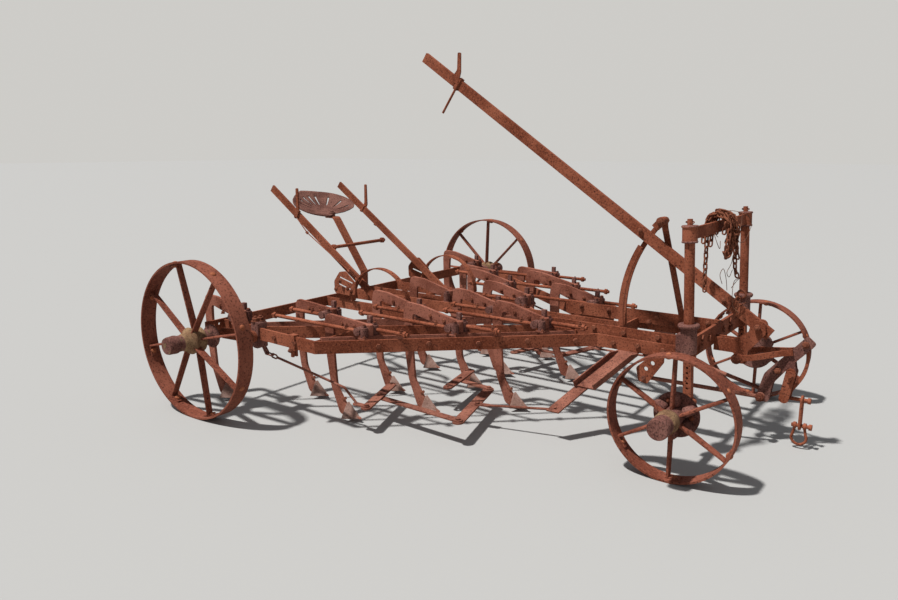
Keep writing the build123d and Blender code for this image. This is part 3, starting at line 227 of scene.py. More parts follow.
def repeatFaces(faces, count, copies):
    # the faces of a form of so many points, counted on for each copy
    return [[index + copy * count for index in face] for copy in range(copies) for face in faces]


def turnedForm(profile, sides):
    # profile of radius and height turned about Z: x = r cos a, y = r sin a, z = h, a flat lid at each end
    profile = np.array(profile, float)
    angle = np.arange(sides) * 2 * np.pi / sides
    radius, height = profile[:, :1], profile[:, 1:]
    points = np.stack([radius * np.cos(angle), radius * np.sin(angle), height + 0 * angle], -1)
    return points.reshape(-1, 3), closedFaces(len(profile), sides)


def copyForm(form, places, axes):
    # copies of a form, its Z line turned to each axis: point = place + x across + y along + z axis
    points, faces = form
    places = np.array(places, float)
    axes = unit(np.array(axes, float))
    upright = np.abs(axes[:, 2:]) < 0.9
    helper = np.where(upright, np.array([[0.0, 0.0, 1.0]]), np.array([[1.0, 0.0, 0.0]]))
    across = unit(np.cross(helper, axes))
    turn = np.stack([across, np.cross(axes, across), axes], 1)
    moved = points @ turn + places[:, None, :]
    return moved.reshape(-1, 3), repeatFaces(faces, len(points), len(places))


def joinForms(forms):
    # one form out of several, their points in a row and their faces counted on
    points = np.concatenate([form[0] for form in forms])
    starts = np.cumsum([0] + [len(form[0]) for form in forms])
    faces = [[index + start for index in face] for form, start in zip(forms, starts) for face in form[1]]
    return points, faces


def makePiece(name, form, finish, body, smooth=False):
    # a mesh object from points and faces, with one finish, riding on a body
    points, faces = form
    mesh = bpy.data.meshes.new(name)
    mesh.from_pydata(points.tolist(), [], faces)
    mesh.polygons.foreach_set("use_smooth", np.broadcast_to(smooth, len(mesh.polygons)))
    mesh.materials.append(materials[finish])
    mesh.update()
    piece = bpy.data.objects.new(name, mesh)
    bpy.context.scene.collection.objects.link(piece)
    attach(piece, body)
    return piece


def tubeForm(path, radius, sides, reference, closed=False):
    # circle carried along a path: point = path + r (cos a side + sin a up), side square to path and reference
    path = np.array(path, float)
    tangent = unit(np.roll(path, -1, 0) - np.roll(path, 1, 0) if closed else np.gradient(path, axis=0))
    side = unit(np.cross(tangent, reference))
    up = np.cross(tangent, side)
    angle = (np.arange(sides) * 2 * np.pi / sides)[None, :, None]
    points = path[:, None, :] + radius * (np.cos(angle) * side[:, None, :] + np.sin(angle) * up[:, None, :])
    count = len(path)
    if closed:
        faces = (gridFaces(count + 1, sides) % (count * sides)).tolist()
    else:
        faces = closedFaces(count, sides)
    return points.reshape(-1, 3), faces


# Nuts in millimetres and shares of their width: what is sunk in, bevels, the bolt's end and the washer
nutShape = {"sunk": 1, "foot": 1.2, "bevel": 2, "footShare": 0.94, "topShare": 0.86, "stubShare": 0.27,
            "stubTipShare": 0.2, "stubFoot": 1, "stubBevel": 1.5, "stubSides": 12, "washerSunk": 1.5,
            "washerRim": 1.8, "washerHeight": 2.6, "washerBevel": 1, "washerSides": 20}


def nutForm(flats, height, corners, stub=0.0, washer=0.0):
    # nut or bolt head with chamfered corners on a washer, the bolt's end above it; millimetres in, metres out
    reach = flats / 2 / math.cos(math.pi / corners)
    body = [(reach * nutShape["footShare"], -nutShape["sunk"]), (reach, nutShape["foot"]),
            (reach, height - nutShape["bevel"]), (reach * nutShape["topShare"], height)]
    forms = [turnedForm(body, corners)]
    if stub:
        end = [(flats * nutShape["stubShare"], nutShape["stubFoot"]),
               (flats * nutShape["stubShare"], height + stub - nutShape["stubBevel"]),
               (flats * nutShape["stubTipShare"], height + stub)]
        forms.append(turnedForm(end, nutShape["stubSides"]))
    if washer:
        disc = [(washer / 2, -nutShape["washerSunk"]), (washer / 2, nutShape["washerRim"]),
                (washer / 2 - nutShape["washerBevel"], nutShape["washerHeight"])]
        forms.append(turnedForm(disc, nutShape["washerSides"]))
    points, faces = joinForms(forms)
    return points / 1000, faces


axisWords = {"+x": (1, 0, 0), "-x": (-1, 0, 0), "+y": (0, 1, 0), "-y": (0, -1, 0), "+z": (0, 0, 1),
             "-z": (0, 0, -1)}


def bothSides(rows, mirrored=True):
    # places and axes from rows of x, y, z in millimetres and an axis, with their mirror images
    places = np.array([row[:3] for row in rows], float) / 1000 + rearAxle
    axes = np.array([axisWords[row[3]] if isinstance(row[3], str) else row[3] for row in rows], float)
    if mirrored:
        flip = np.array([1, -1, 1])
        places = np.concatenate([places, places * flip])
        axes = np.concatenate([axes, axes * flip])
    return places, axes


# Wheels: name, number of spokes and how many degrees they are turned
wheelRows = [("rear_right", 8, 13), ("rear_left", 8, 0), ("front_right", 6, 0), ("front_left", 6, 0)]


def wheelFacts(wheelName):
    # the wheel's pair and body, its side as -1 or 1 along y, its middle and its radius
    pairName, hand = wheelName.split("_")
    low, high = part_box(wheelName + "_rim")
    side = -1 if hand == "right" else 1
    return pairName, pairName + "_wheel_" + hand, side, np.array((low + high) / 2), (high.z - low.z) / 2


# Rivets through the rims, one at each spoke's foot, its head outside and its burr inside, none where the rim
# meets the floor. For each pair of wheels the head's radius and height, and how far in the burr lies.
rivet = {"sides": 18, "rows": 6, "crown": 0.2, "root": 0.002, "inset": 0.033, "floorGap": 0.02,
         "rear": (0.0165, 0.0075, 0.0225), "front": (0.0125, 0.006, 0.0195)}
domeAngles = np.linspace(0, math.pi / 2 - rivet["crown"], rivet["rows"])
for wheelName, spokeCount, turned in wheelRows:
    pairName, body, side, centre, outer = wheelFacts(wheelName)
    radius, height, depth = rivet[pairName]
    dome = [(radius * math.cos(a), height * math.sin(a)) for a in domeAngles]
    headForm = turnedForm([(radius, -rivet["root"])] + dome, rivet["sides"])
    angles = (np.arange(spokeCount) * 2 * np.pi / spokeCount + np.pi / 2 + math.radians(turned)
              - side * rivet["inset"] / outer)
    directions = np.stack([np.cos(angles), 0 * angles, np.sin(angles)], -1)
    heads = []
    for lift, sense in ((outer, 1), (outer - depth, -1)):
        places = centre + directions * lift
        kept = places[:, 2] > rivet["floorGap"]
        heads.append(copyForm(headForm, places[kept], sense * directions[kept]))
    makePiece(wheelName + "RimRivets", joinForms(heads), "rivetRust", body, True)
print("stage: rivets")

# Bolts along the slanting side rails, in millimetres: the rail's start and run, its half thickness, which way
# its outer face looks, and where its bolts stand along x, every second one a step higher
rail = {"start": (760, -1320), "run": (1150, 1048), "half": 7, "out": (0.6735, -0.739, 0),
        "bolts": (1010, 1815, 5), "height": 486, "step": 7}
railOut = np.array(rail["out"])
railX = np.linspace(*rail["bolts"])
railY = rail["start"][1] + rail["run"][1] * (railX - rail["start"][0]) / rail["run"][0]
railPlaces = np.stack([railX, railY, rail["height"] + rail["step"] * (np.arange(len(railX)) % 2)], 1)
railHeads = [(*place, tuple(railOut)) for place in railPlaces + rail["half"] * railOut]
railNuts = [(*place, tuple(-railOut)) for place in railPlaces - rail["half"] * railOut]

# Tines in millimetres: x and y of the pivot, how far back the arch reaches and how far its top is dropped
tineRows = [(923.5, 1068, 358, 42), (1277.2, 712, 420, 0), (1624.8, 356, 375, 0), (75, 1246, 375, 0),
            (470.7, 890, 345, 40), (850.3, 534, 400, 0), (1200, 178, 375, 0)]
centreTine = (700, 0, 375, 0)
tine = {"thickness": 18, "bevel": 2, "armDepth": 60, "shank": 68, "archTop": 655, "seat": 522, "pivot": 43,
        "pivotTop": 589, "footAhead": 70}
# What is bolted to each tine: bolts through its arm, bosses beside its pivot, its saddle and its share
fitting = {"face": 9, "armBolts": (100, 197), "armHeight": 557.5, "armSlope": 0.19, "boss": 42.7,
           "bossTop": 588.5, "saddleBolts": ((16, -60), (16, 60), (-16, 60)),
           "shareBolts": ((62, 120), (84, 82))}
armBolts, armNuts, bossEnds, saddleBolts, shareBolts = [], [], [], [], []
for pivotX, pivotY, reach, drop in tineRows:
    for ahead in fitting["armBolts"]:
        boltZ = fitting["armHeight"] + fitting["armSlope"] * ahead - drop * ahead / (reach - tine["armDepth"])
        armBolts.append((pivotX - ahead, -pivotY - fitting["face"], boltZ, "-y"))
        armNuts.append((pivotX - ahead, -pivotY + fitting["face"], boltZ, "+y"))
    for sense in (-1, 1):
        bossEnds.append((pivotX, -pivotY + sense * fitting["boss"], fitting["bossTop"], "+z"))
    for alongX, alongY in fitting["saddleBolts"]:
        saddleBolts.append((pivotX + alongX, -pivotY + alongY, tine["seat"], "+z"))
    footX = pivotX + tine["pivot"] / 2 - reach + tine["footAhead"]
    for shareX, shareZ in fitting["shareBolts"]:
        for sense, word in ((-1, "-y"), (1, "+y")):
            shareBolts.append((footX + shareX, -pivotY + fitting["face"] * sense, shareZ, word))

# Bolts and nuts of the frame: rows of x, y, z and the way each one points, mirrored unless said otherwise
boltPieces = {
    "railBolts": {
        "form": nutForm(25, 14, 6), "rows": railHeads + [
        (420, -1304.5, 486, "-y"), (600, -1316, 486, "-y"), (2010, -279, 484, "-y"),
        (2150, -279, 490, "-y"), (2290, -279, 486, "-y"), (2380, -279, 490, "-y"),
        (1560, -253, 548, "-y"), (1745, -253, 545, "-y"), (1880, -253, 549, "-y"),
        (2056, -253, 543, "-y"), (2250, -253, 546, "-y"), (2360, -253, 546, "-y")]},
    "railNuts": {
        "form": nutForm(24, 13, 6, 7, 34), "rows": railNuts + [
        (2010, -241, 504, "+y"), (2150, -241, 504, "+y"), (2290, -241, 500, "+y"),
        (1560, -241, 548, "+y"), (1745, -241, 545, "+y"), (2056, -241, 543, "+y"),
        (2360, -241, 546, "+y")]},
    "beamBolts": {
        "form": nutForm(26, 12, 4), "rows": [
        (-106, -75, 486, "-x"), (-106, -393, 486, "-x"), (-106, -1238, 478, "-x"),
        (-106, -1262, 500, "-x"), (2478, -248, 530, "+x"), (2478, -286, 530, "+x"),
        (2478, -248, 575, "+x"), (2478, -130, 550, "+x")]},
    "armBolts": {"form": nutForm(19, 9, 6), "rows": armBolts},
    "armNuts": {"form": nutForm(19, 11, 6, 6), "rows": armNuts},
    "bossEnds": {"form": nutForm(19, 7, 12), "rows": bossEnds},
    "saddleBolts": {"form": nutForm(15, 8, 6, 4), "rows": saddleBolts},
    "shareBolts": {"form": nutForm(17, 4, 12), "rows": shareBolts},
    "bracketNuts": {
        "form": nutForm(34, 20, 6, 10, 48), "rows": [(252, -1262, 556, "+z"), (246, -1294, 556, "+z")]},
    "crankNuts": {
        "form": nutForm(42, 22, 6, 8, 60), "rows": [(253, -1240, 470, "+y"), (253, -1342, 470, "-y")]},
    "slottedBolts": {
        "form": nutForm(20, 9, 6, 6, 30), "rows": [
        (80, -427, 650, "-y"), (150, -427, 604, "-y"), (184, -427, 590, "-y"), (40, -427, 590, "-y")]},
    "clampNuts": {"form": nutForm(22, 12, 6, 8, 30), "rows": [(582, -1334, 444, "-y")]},
    "hitchNuts": {
        "form": nutForm(36, 17, 6, 9, 46), "rows": [(2620, -118, 455, "-y"), (2745, -78, 262, "-y")]},
    "yokeNuts": {
        "form": nutForm(28, 13, 6, 7, 36), "rows": [
        (2932, -30, 562, "-y"), (2810, -30, 407, "-y"), (2696, -40, 620, "-y")]},
    "seatBolts": {
        "form": nutForm(24, 12, 4), "mirrored": False, "rows": [
        (-83.8, 12, 482, "+x"), (-83.8, -12, 504, "+x"), (-106, 10, 500, "-x")]},
    "headNuts": {
        "form": nutForm(34, 14, 6, 8, 42), "mirrored": False, "rows": [
        (2145.8, 45, 1140.2, "+y"), (2145.8, -41, 1140.2, "-y")]},
}
for pieceName, values in boltPieces.items():
    places, axes = bothSides(values["rows"], values.get("mirrored", True))
    makePiece(pieceName, copyForm(values["form"], places, axes), "boltRust", "frame")
print("stage: bolts and nuts")

# Castings on the wheels' hubs: rows of distance out from the rim's middle and radius, in millimetres, turned
# about the axle
hubForms = {
    "rear": {"core": [(-44, 44), (-42, 60), (-36, 74), (-26, 78), (-14, 70), (0, 66), (14, 70), (26, 78),
                      (36, 74), (42, 60), (56, 53), (74, 51), (92, 44)],
             "cap": [(118, 44), (120, 50.5), (128, 52), (158, 50), (170, 49.5), (176, 47), (178, 38)],
             "burr": [(-128, 44), (-126, 66), (-118, 70), (-108, 64), (-100, 44)]},
    "front": {"core": [(40, 44), (44, 54), (60, 56), (84, 53), (100, 54), (112, 44)],
              "cap": [(128, 44), (130, 51), (150, 52), (176, 51), (186, 50), (189, 46), (189.5, 34)],
              "burr": [(-73, 90), (-72, 106), (-66, 111), (-58, 111), (-52, 104), (-51, 92)]},
}
hubFinish = {"core": "lichenCrust", "cap": "rusted_casting", "burr": "rusted_casting"}
hubSides = 40
for wheelName, spokeCount, turned in wheelRows:
    pairName, body, side, centre, outer = wheelFacts(wheelName)
    for part, rows in hubForms[pairName].items():
        form = turnedForm([(radius / 1000, out / 1000) for out, radius in rows], hubSides)
        makePiece(wheelName + "Hub" + part.capitalize(), copyForm(form, [centre], [(0, side, 0)]),
                  hubFinish[part], body, True)

# Sockets for the spokes on the front wheels' discs, half-round ridges that narrow outward, with bolts between
# every second pair of them: x = width cos a, y = rise sin a, z from start to end, ends rounded by
# sqrt(1 - (2t - 1)^6)
socket = {"count": 6, "start": 0.046, "end": 0.112, "widthIn": 0.027, "widthOut": 0.0189, "rise": 0.031,
          "sunk": 0.034, "rows": 7, "columns": 18, "boltRing": 0.076, "boltSunk": 0.059}
along = np.linspace(0, 1, socket["rows"])[:, None]
around = np.linspace(0, 2 * np.pi, socket["columns"], endpoint=False)[None, :]
width = socket["widthIn"] + (socket["widthOut"] - socket["widthIn"]) * along
taper = np.sqrt(np.clip(1 - (2 * along - 1) ** 6, 0.25, 1))
ridge = np.stack([width * taper * np.cos(around), socket["rise"] * taper * np.sin(around) - socket["sunk"],
                  socket["start"] + (socket["end"] - socket["start"]) * along + 0 * around], -1)
ridge = ridge.reshape(-1, 3)
ridgeFaces = closedFaces(socket["rows"], socket["columns"])
for wheelName in ("front_right", "front_left"):
    pairName, body, side, centre, outer = wheelFacts(wheelName)
    axle = np.array((0, side, 0))
    sockets = []
    boltPlaces = []
    for number in range(socket["count"]):
        turn = number * 2 * math.pi / socket["count"]
        out = np.array((math.sin(turn), 0, math.cos(turn)))
        flat = np.array((math.cos(turn), 0, -math.sin(turn)))
        sockets.append((centre + ridge[:, :1] * flat * side + ridge[:, 1:2] * axle + ridge[:, 2:] * out,
                        ridgeFaces))
        if number % 2:
            between = turn + math.pi / socket["count"]
            out = np.array((math.sin(between), 0, math.cos(between)))
            boltPlaces.append(centre + socket["boltRing"] * out - socket["boltSunk"] * axle)
    makePiece(wheelName + "SpokeSockets", joinForms(sockets), "rusted_casting", body, True)
    makePiece(wheelName + "DiscBolts",
              copyForm(nutForm(24, 14, 6, 8, 34), boltPlaces, [axle] * len(boltPlaces)), "boltRust", body)
print("stage: hubs")

# Duckfoot shares: each wing a flat triangle from the shank down to the point and back to its corner, slightly
# hollow. Millimetres ahead of the foot, aside and above the floor.
duckfoot = {"top": (92, 0, 116), "tip": (188, 0, 25), "corner": (98, 64, 25), "thick": (-5, 0, -3),
            "hollow": 7, "from": 0.1, "rows": 7, "columns": 11}
rows, columns = duckfoot["rows"], duckfoot["columns"]
rise = np.linspace(duckfoot["from"], 1, rows)[:, None, None]
across = np.linspace(-1, 1, columns)[None, :, None]
top, tip, corner = (np.array(duckfoot[key], float) for key in ("top", "tip", "corner"))
spread = np.abs(across)
edge = tip * (1 - spread) + corner * (1, 0, 1) * spread + corner * (0, 1, 0) * across
blade = top + rise * (edge - top) - duckfoot["hollow"] * rise * (1 - rise) * np.array((1, 0, 1))
blade = blade.reshape(-1, 3)
sheet = gridFaces(rows, columns, False)
border = np.concatenate([
    np.arange(columns), columns * np.arange(2, rows + 1) - 1, rows * columns - 2 - np.arange(columns - 1),
    columns * np.arange(rows - 2, 0, -1)])
nextBorder = np.roll(border, -1)
walls = np.stack([border, border + len(blade), nextBorder + len(blade), nextBorder], -1)
bladePoints = np.concatenate([blade, blade + duckfoot["thick"]]) / 1000
bladeFaces = np.concatenate([sheet[:, ::-1], sheet + len(blade), walls])[:, ::-1].tolist()
shares = []
for pivotX, pivotY, reach, drop in tineRows + [centreTine]:
    footX = pivotX + tine["pivot"] / 2 - reach + tine["footAhead"]
    for side in ((-1, 1) if pivotY else (1,)):
        shares.append((bladePoints + np.array((footX, side * pivotY, 0)) / 1000 + rearAxle, bladeFaces))
makePiece("duckfootShares", joinForms(shares), "shareSteel", "frame")
print("stage: shares")

# Collars of the sleeves, flanges and crowns at the beam's eyes: height above the sleeve's bottom, sides, and
# radius and height in millimetres
post = {"foot": (2490, 485, 550), "rake": 3, "sides": (-1, 1)}
beadAngles = np.linspace(-2.2, 2.2, 13)
collarRows = [
    (137, 40, [(40 + 13 * math.cos(a), 13 * math.sin(a)) for a in beadAngles]),
    (550, 36, [(25, -9), (37, -8), (39, -3), (37, 2), (30, 2)]),
    (616, 36, [(25, 0), (39, 1), (41, 5), (38, 9.5), (26, 10.5)]),
]
postUp = np.array((-math.sin(math.radians(post["rake"])), 0, math.cos(math.radians(post["rake"]))))


def onPost(height, side):
    # a point on a post's raked axis, its height in millimetres above the sleeve's bottom
    return np.array(post["foot"]) * (1, side, 1) / 1000 + rearAxle + postUp * height / 1000


collars = []
for height, sides, profile in collarRows:
    points, faces = turnedForm(profile, sides)
    collars.append(copyForm((points / 1000, faces), [onPost(height, side) for side in post["sides"]],
                            [postUp] * 2))
makePiece("postCollars", joinForms(collars), "rusted_casting", "frame", True)

# Split pins, loops of wire: large ones through the posts' studs, small ones through the studs of the tines
pinOfPost = {"height": 640, "long": 0.02, "wide": 0.006, "lift": 0.004, "wire": 0.0028}
pinOfTine = {"height": 594, "long": 0.013, "wide": 0.004, "wire": 0.0018}
pinTurn = np.linspace(0, 2 * np.pi, 15)[:-1, None]
splitPins = []
for side in post["sides"]:
    loop = np.concatenate([pinOfPost["long"] * np.cos(pinTurn), pinOfPost["wide"] * np.sin(pinTurn),
                           pinOfPost["lift"] * np.sin(2 * pinTurn)], 1)
    loop = onPost(pinOfPost["height"], side) + loop
    splitPins.append(tubeForm(loop, pinOfPost["wire"], 8, (0, 0.2, 1), True))
for pivotX, pivotY, reach, drop in tineRows:
    for side in (-1, 1):
        for shift in (-fitting["boss"], fitting["boss"]):
            base = np.array((pivotX, side * (pivotY - shift), pinOfTine["height"])) / 1000 + rearAxle
            turn = 0.7 * pivotX + side + shift  # each pin lies its own way
            out = np.array((math.cos(turn), math.sin(turn), 0))
            flat = np.array((-math.sin(turn), math.cos(turn), 0))
            loop = pinOfTine["long"] * np.cos(pinTurn) * out + pinOfTine["wide"] * np.sin(pinTurn) * flat
            splitPins.append(tubeForm(base + loop, pinOfTine["wire"], 6, (0, 0, 1), True))
makePiece("splitPins", joinForms(splitPins), "boltRust", "frame", True)

# Small bolts down through the tie rods' ends, behind every pivot and ahead of the outer ones
rodBolt = {"behind": 130, "ahead": 196, "height": 562}
rodRows = [(row[0] - rodBolt["behind"], -row[1] - fitting["boss"], rodBolt["height"], "+z")
           for row in tineRows]
rodRows += [(row[0] + rodBolt["ahead"], -row[1] + fitting["boss"], rodBolt["height"], "+z")
            for row in tineRows[:3]]
makePiece("rodBolts", copyForm(nutForm(17, 14, 4, 9, 26), *bothSides(rodRows)), "boltRust", "frame")

# Springs round the latch pins of the rear levers: a wire carried along a helix beside the lever
coil = {"turns": 7, "radius": 0.0125, "wire": 0.0024, "start": 0.29, "end": 0.355,
        "pivot": (400, 361, 500), "rise": 35.4}
coilRise = math.radians(coil["rise"])
leverBack = np.array((-math.cos(coilRise), 0, math.sin(coilRise)))
leverUp = np.array((math.sin(coilRise), 0, math.cos(coilRise)))
sweepAngle = np.linspace(0, coil["turns"] * 2 * np.pi, coil["turns"] * 14)[:, None]
coilOut = coil["start"] + (coil["end"] - coil["start"]) * sweepAngle / sweepAngle[-1]
coilRound = coil["radius"] * (np.cos(sweepAngle) * leverUp + np.sin(sweepAngle) * np.array((0, 1, 0)))
for hand, side in (("right", -1), ("left", 1)):
    base = np.array(coil["pivot"]) * (1, side, 1) / 1000 + rearAxle
    makePiece("latchSpring_" + hand,
              tubeForm(base + coilOut * leverBack + coilRound, coil["wire"], 8, leverBack), "boltRust",
              "rear_lever_" + hand, True)
print("stage: collars, pins and springs")


def roundedLine(corners, steps=7):
    # open line through corners of x, z and radius: at each a curve (1-s)^2 start + 2s(1-s) corner + s^2 end
    corners = np.array(corners, float)
    point = corners[1:-1, :2]
    before, after = corners[:-2, :2] - point, corners[2:, :2] - point
    beforeLong = np.linalg.norm(before, axis=1, keepdims=True)
    afterLong = np.linalg.norm(after, axis=1, keepdims=True)
    half = np.arccos(np.clip((before * after).sum(1, keepdims=True) / (beforeLong * afterLong), -1, 1)) / 2
    cut = np.minimum(corners[1:-1, 2:] / np.tan(half), 0.49 * np.minimum(beforeLong, afterLong))
    start, end = point + before / beforeLong * cut, point + after / afterLong * cut
    s = np.linspace(0, 1, steps)[None, :, None]
    curve = (1 - s) ** 2 * start[:, None] + 2 * s * (1 - s) * point[:, None] + s ** 2 * end[:, None]
    return np.concatenate([corners[:1, :2], curve.reshape(-1, 2), corners[-1:, :2]])


def bandForm(outer, inner, thickness, bevel):
    # flat bar between two lines in x and z: an eight-sided section, bevelled, carried along the pair of lines
    across = unit(inner - outer) * bevel
    half = thickness / 2
    ring = ((outer, bevel - half), (outer, half - bevel), (outer + across, half), (inner - across, half),
            (inner, half - bevel), (inner, bevel - half), (inner - across, -half), (outer + across, -half))
    points = np.stack([np.insert(row, 1, y, axis=1) for row, y in ring], 1)
    return points.reshape(-1, 3), closedFaces(len(outer), len(ring))


def tineForm(reach, drop):
    # gooseneck tine, its pivot at x = 0: a turned pivot end, a squared arch behind it, a shank bent ahead
    radius, low, high = tine["pivot"] / 2, tine["seat"], tine["pivotTop"]
    back = radius - reach
    arch = tine["archTop"] - drop
    inside = back + tine["shank"]
    foot = back + tine["footAhead"]
    outer = [(0, high, 0), (back + 130, arch - 8, 120), (back + 10, arch, 52), (back, arch - 80, 30),
             (back + 6, 370, 60), (back + 34, 190, 160), (foot + 32, 23, 40), (foot + 186, 22.5, 0)]
    inner = [(0, low + 4, 0), (back + 150, arch - 64 - (arch - 585) * 0.3, 20),
             (inside + 2, arch - tine["armDepth"] - 3, 20), (inside, arch - 130, 20), (inside, 370, 60),
             (inside + 14, 190, 120), (foot + 94, 70, 60), (foot + 189, 26, 0)]
    plate = bandForm(roundedLine(outer), roundedLine(inner), tine["thickness"], tine["bevel"])
    end = turnedForm([(radius - 2, low), (radius, low + 2), (radius, high - 3), (radius - 3, high)], 32)
    points, faces = joinForms([plate, end])
    return points / 1000, faces


tineNodes = {"outer_tines": tineRows[:3], "inner_tines": tineRows[3:], "centre_tine": [centreTine]}
for nodeName, tines in tineNodes.items():
    forms = []
    for pivotX, pivotY, reach, drop in tines:
        points, faces = tineForm(reach, drop)
        for side in ((-1, 1) if pivotY else (1,)):
            forms.append((points + np.array((pivotX, side * pivotY, 0)) / 1000 + rearAxle, faces))
    piece = makePiece(nodeName + "Forged", joinForms(forms), "tine_rust", "frame")
    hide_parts(nodeName)
print("stage: tines")

# Spokes: a bar that narrows from hub to rim, its broad side along the axle, and a foot bent along the rim.
# Every second one starts further out along the axle, by twice the stagger.
spokes = {
    "rear": {"hub": 46.2, "reach": 446.8, "halfHub": 22, "halfRim": 19, "thick": 11, "stagger": 20},
    "front": {"hub": 48.2, "reach": 294.8, "halfHub": 23, "halfRim": 17, "thick": 13, "stagger": 0},
    "foot": 62, "footThick": 8, "footBevel": 2, "bladeBevel": 2.5, "rimGap": 3,
}
for wheelName, spokeCount, turned in wheelRows:
    pairName, body, side, centre, outer = wheelFacts(wheelName)
    row = spokes[pairName]
    rimEnd = row["reach"] - spokes["rimGap"]
    footArc = np.linspace(-row["thick"] / 2, spokes["foot"], 9) / row["reach"]
    arcLine = np.stack([np.sin(footArc), np.cos(footArc)], 1)
    footPoints, footFaces = bandForm(arcLine * row["reach"], arcLine * (row["reach"] - spokes["footThick"]),
                                     2 * row["halfRim"], spokes["footBevel"])
    if side < 0:
        footFaces = [face[::-1] for face in footFaces]
    axle = np.array((0, side, 0))
    forms = []
    for number in range(spokeCount):
        shift = row["stagger"] * (1 if number % 2 else -1)
        angle = np.pi / 2 + math.radians(turned) + number * 2 * np.pi / spokeCount
        out = np.array((math.cos(angle), 0, math.sin(angle)))
        flat = np.array((-math.sin(angle), 0, math.cos(angle))) * -side
        blade, bladeFaces = bandForm(
            np.array([(shift - row["halfHub"], row["hub"]), (-row["halfRim"], rimEnd)]),
            np.array([(shift + row["halfHub"], row["hub"]), (row["halfRim"], rimEnd)]),
            row["thick"], spokes["bladeBevel"])
        if side > 0:
            bladeFaces = [face[::-1] for face in bladeFaces]
        blade = blade / 1000
        foot = footPoints / 1000
        forms.append((centre + blade[:, :1] * axle + blade[:, 1:2] * flat + blade[:, 2:] * out, bladeFaces))
        forms.append((centre + foot[:, :1] * flat + foot[:, 1:2] * axle + foot[:, 2:] * out, footFaces))
    piece = makePiece(wheelName + "SpokeBars", joinForms(forms), "wheel_rust", body)
    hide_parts(wheelName + "_spokes")
print("stage: spokes")

# Seat spring: a broad flat bar, upright at the beam and bent back to the pan
spring = {"width": 74, "half": 5, "bevel": 1.5,
          "line": [(-88.8, 458, 0), (-88.8, 645, 26), (-358, 1026.8, 26), (-436, 1026.8, 0)]}
springLine = roundedLine(spring["line"])
springAhead = unit(np.gradient(springLine, axis=0))
springOut = np.stack([springAhead[:, 1], -springAhead[:, 0]], 1) * spring["half"]
springPoints, springFaces = bandForm(springLine + springOut, springLine - springOut, spring["width"],
                                     spring["bevel"])
springForm = (springPoints / 1000 + rearAxle, springFaces)
springPiece = makePiece("seatSpringLeaf", springForm, "frame_rust", "frame")
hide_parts("seat_spring")

# Seat pan: part of a ball's inside on a polar grid, its slots left out of the grid, walls round each open
# edge. Its outline is a radius at each angle from the front, its front lobes droop and its edge has a lip.
seat = {"middle": (-480, 0), "low": (-330, 0, 1050), "dish": 530.0, "roll": 8.0, "thickness": 5.5, "rows": 24,
        "columns": 90, "slots": (62, 90, 122, 154, 170, 186, 202, 218), "slotFrom": 0.42, "slotTo": 0.85,
        "droop": 14.0, "lip": 3.0, "lipFrom": 0.93, "hole": 0.04,
        "angles": (0, 12, 24, 34, 44, 56, 70, 90, 110, 127, 145, 160, 180),
        "radii": (100, 104, 128, 184, 222, 236, 238, 234, 229, 223, 219, 222, 232),
        "boss": [(0.022, -0.018), (0.024, -0.016), (0.024, 0.012), (0.021, 0.0145)],
        "bossPlace": (-402, 0, 1050, "+z"), "boltPlace": (-402, 0, 1065, "+z")}
columnAngle = np.arange(seat["columns"]) * 2 * np.pi / seat["columns"]
fromFront = np.degrees(np.arccos(np.cos(columnAngle)))
rimRadius = np.interp(fromFront, seat["angles"], seat["radii"])[None, :]
outShare = np.linspace(seat["hole"], 1, seat["rows"])[:, None]
panX = seat["middle"][0] + outShare * rimRadius * np.cos(columnAngle)
panY = seat["middle"][1] + outShare * rimRadius * np.sin(columnAngle)
aheadX = panX - seat["low"][0]
sink = seat["droop"] * np.clip((aheadX - 10) / 60, 0, 1) ** 2 * np.clip(np.abs(panY) / 60, 0, 1)
lip = seat["lip"] * np.clip((outShare - seat["lipFrom"]) / (1 - seat["lipFrom"]), 0, 1) * (fromFront > 30)
roll = math.radians(seat["roll"])
shells = []
for outward in (0, seat["thickness"]):
    rise = seat["dish"] - np.sqrt((seat["dish"] + outward) ** 2 - aheadX ** 2 - panY ** 2) - sink + lip
    shell = np.stack([panX, panY * math.cos(roll) - rise * math.sin(roll),
                      seat["low"][2] + panY * math.sin(roll) + rise * math.cos(roll)], -1)
    shells.append(shell.reshape(-1, 3))
cellShare = np.repeat((outShare[:-1, 0] + outShare[1:, 0]) / 2, seat["columns"])
cellAngle = np.tile(np.degrees(columnAngle + np.pi / seat["columns"]), seat["rows"] - 1)
inSlot = (np.abs(cellAngle[:, None] - np.array(seat["slots"])) <= 180 / seat["columns"]).any(1)
inSlot &= (cellShare > seat["slotFrom"]) & (cellShare < seat["slotTo"])
kept = gridFaces(seat["rows"], seat["columns"])[~inSlot][:, ::-1]
disc = list(range(seat["columns"]))
discEdges = np.stack([disc, np.roll(disc, -1)], 1)
edges = np.concatenate([kept[:, [k, (k + 1) % 4]] for k in range(4)] + [discEdges])
under = seat["rows"] * seat["columns"]
openEdges = edges[~np.isin(edges[:, 0] * under + edges[:, 1], edges[:, 1] * under + edges[:, 0])]
walls = np.stack([openEdges[:, 1], openEdges[:, 0], openEdges[:, 0] + under, openEdges[:, 1] + under], 1)
panFaces = kept.tolist() + [disc] + (kept[:, ::-1] + under).tolist() + [[k + under for k in disc[::-1]]]
panForm = (np.concatenate(shells) / 1000 + rearAxle, panFaces + walls.tolist())
bossForm = copyForm(turnedForm(seat["boss"], 28), *bothSides([seat["bossPlace"]], False))
seatSmooth = [True] * len(panFaces) + [False] * (len(walls) + len(bossForm[1]))
seatPan = makePiece("seatPanCast", joinForms([panForm, bossForm]), "seatRust", "frame", seatSmooth)
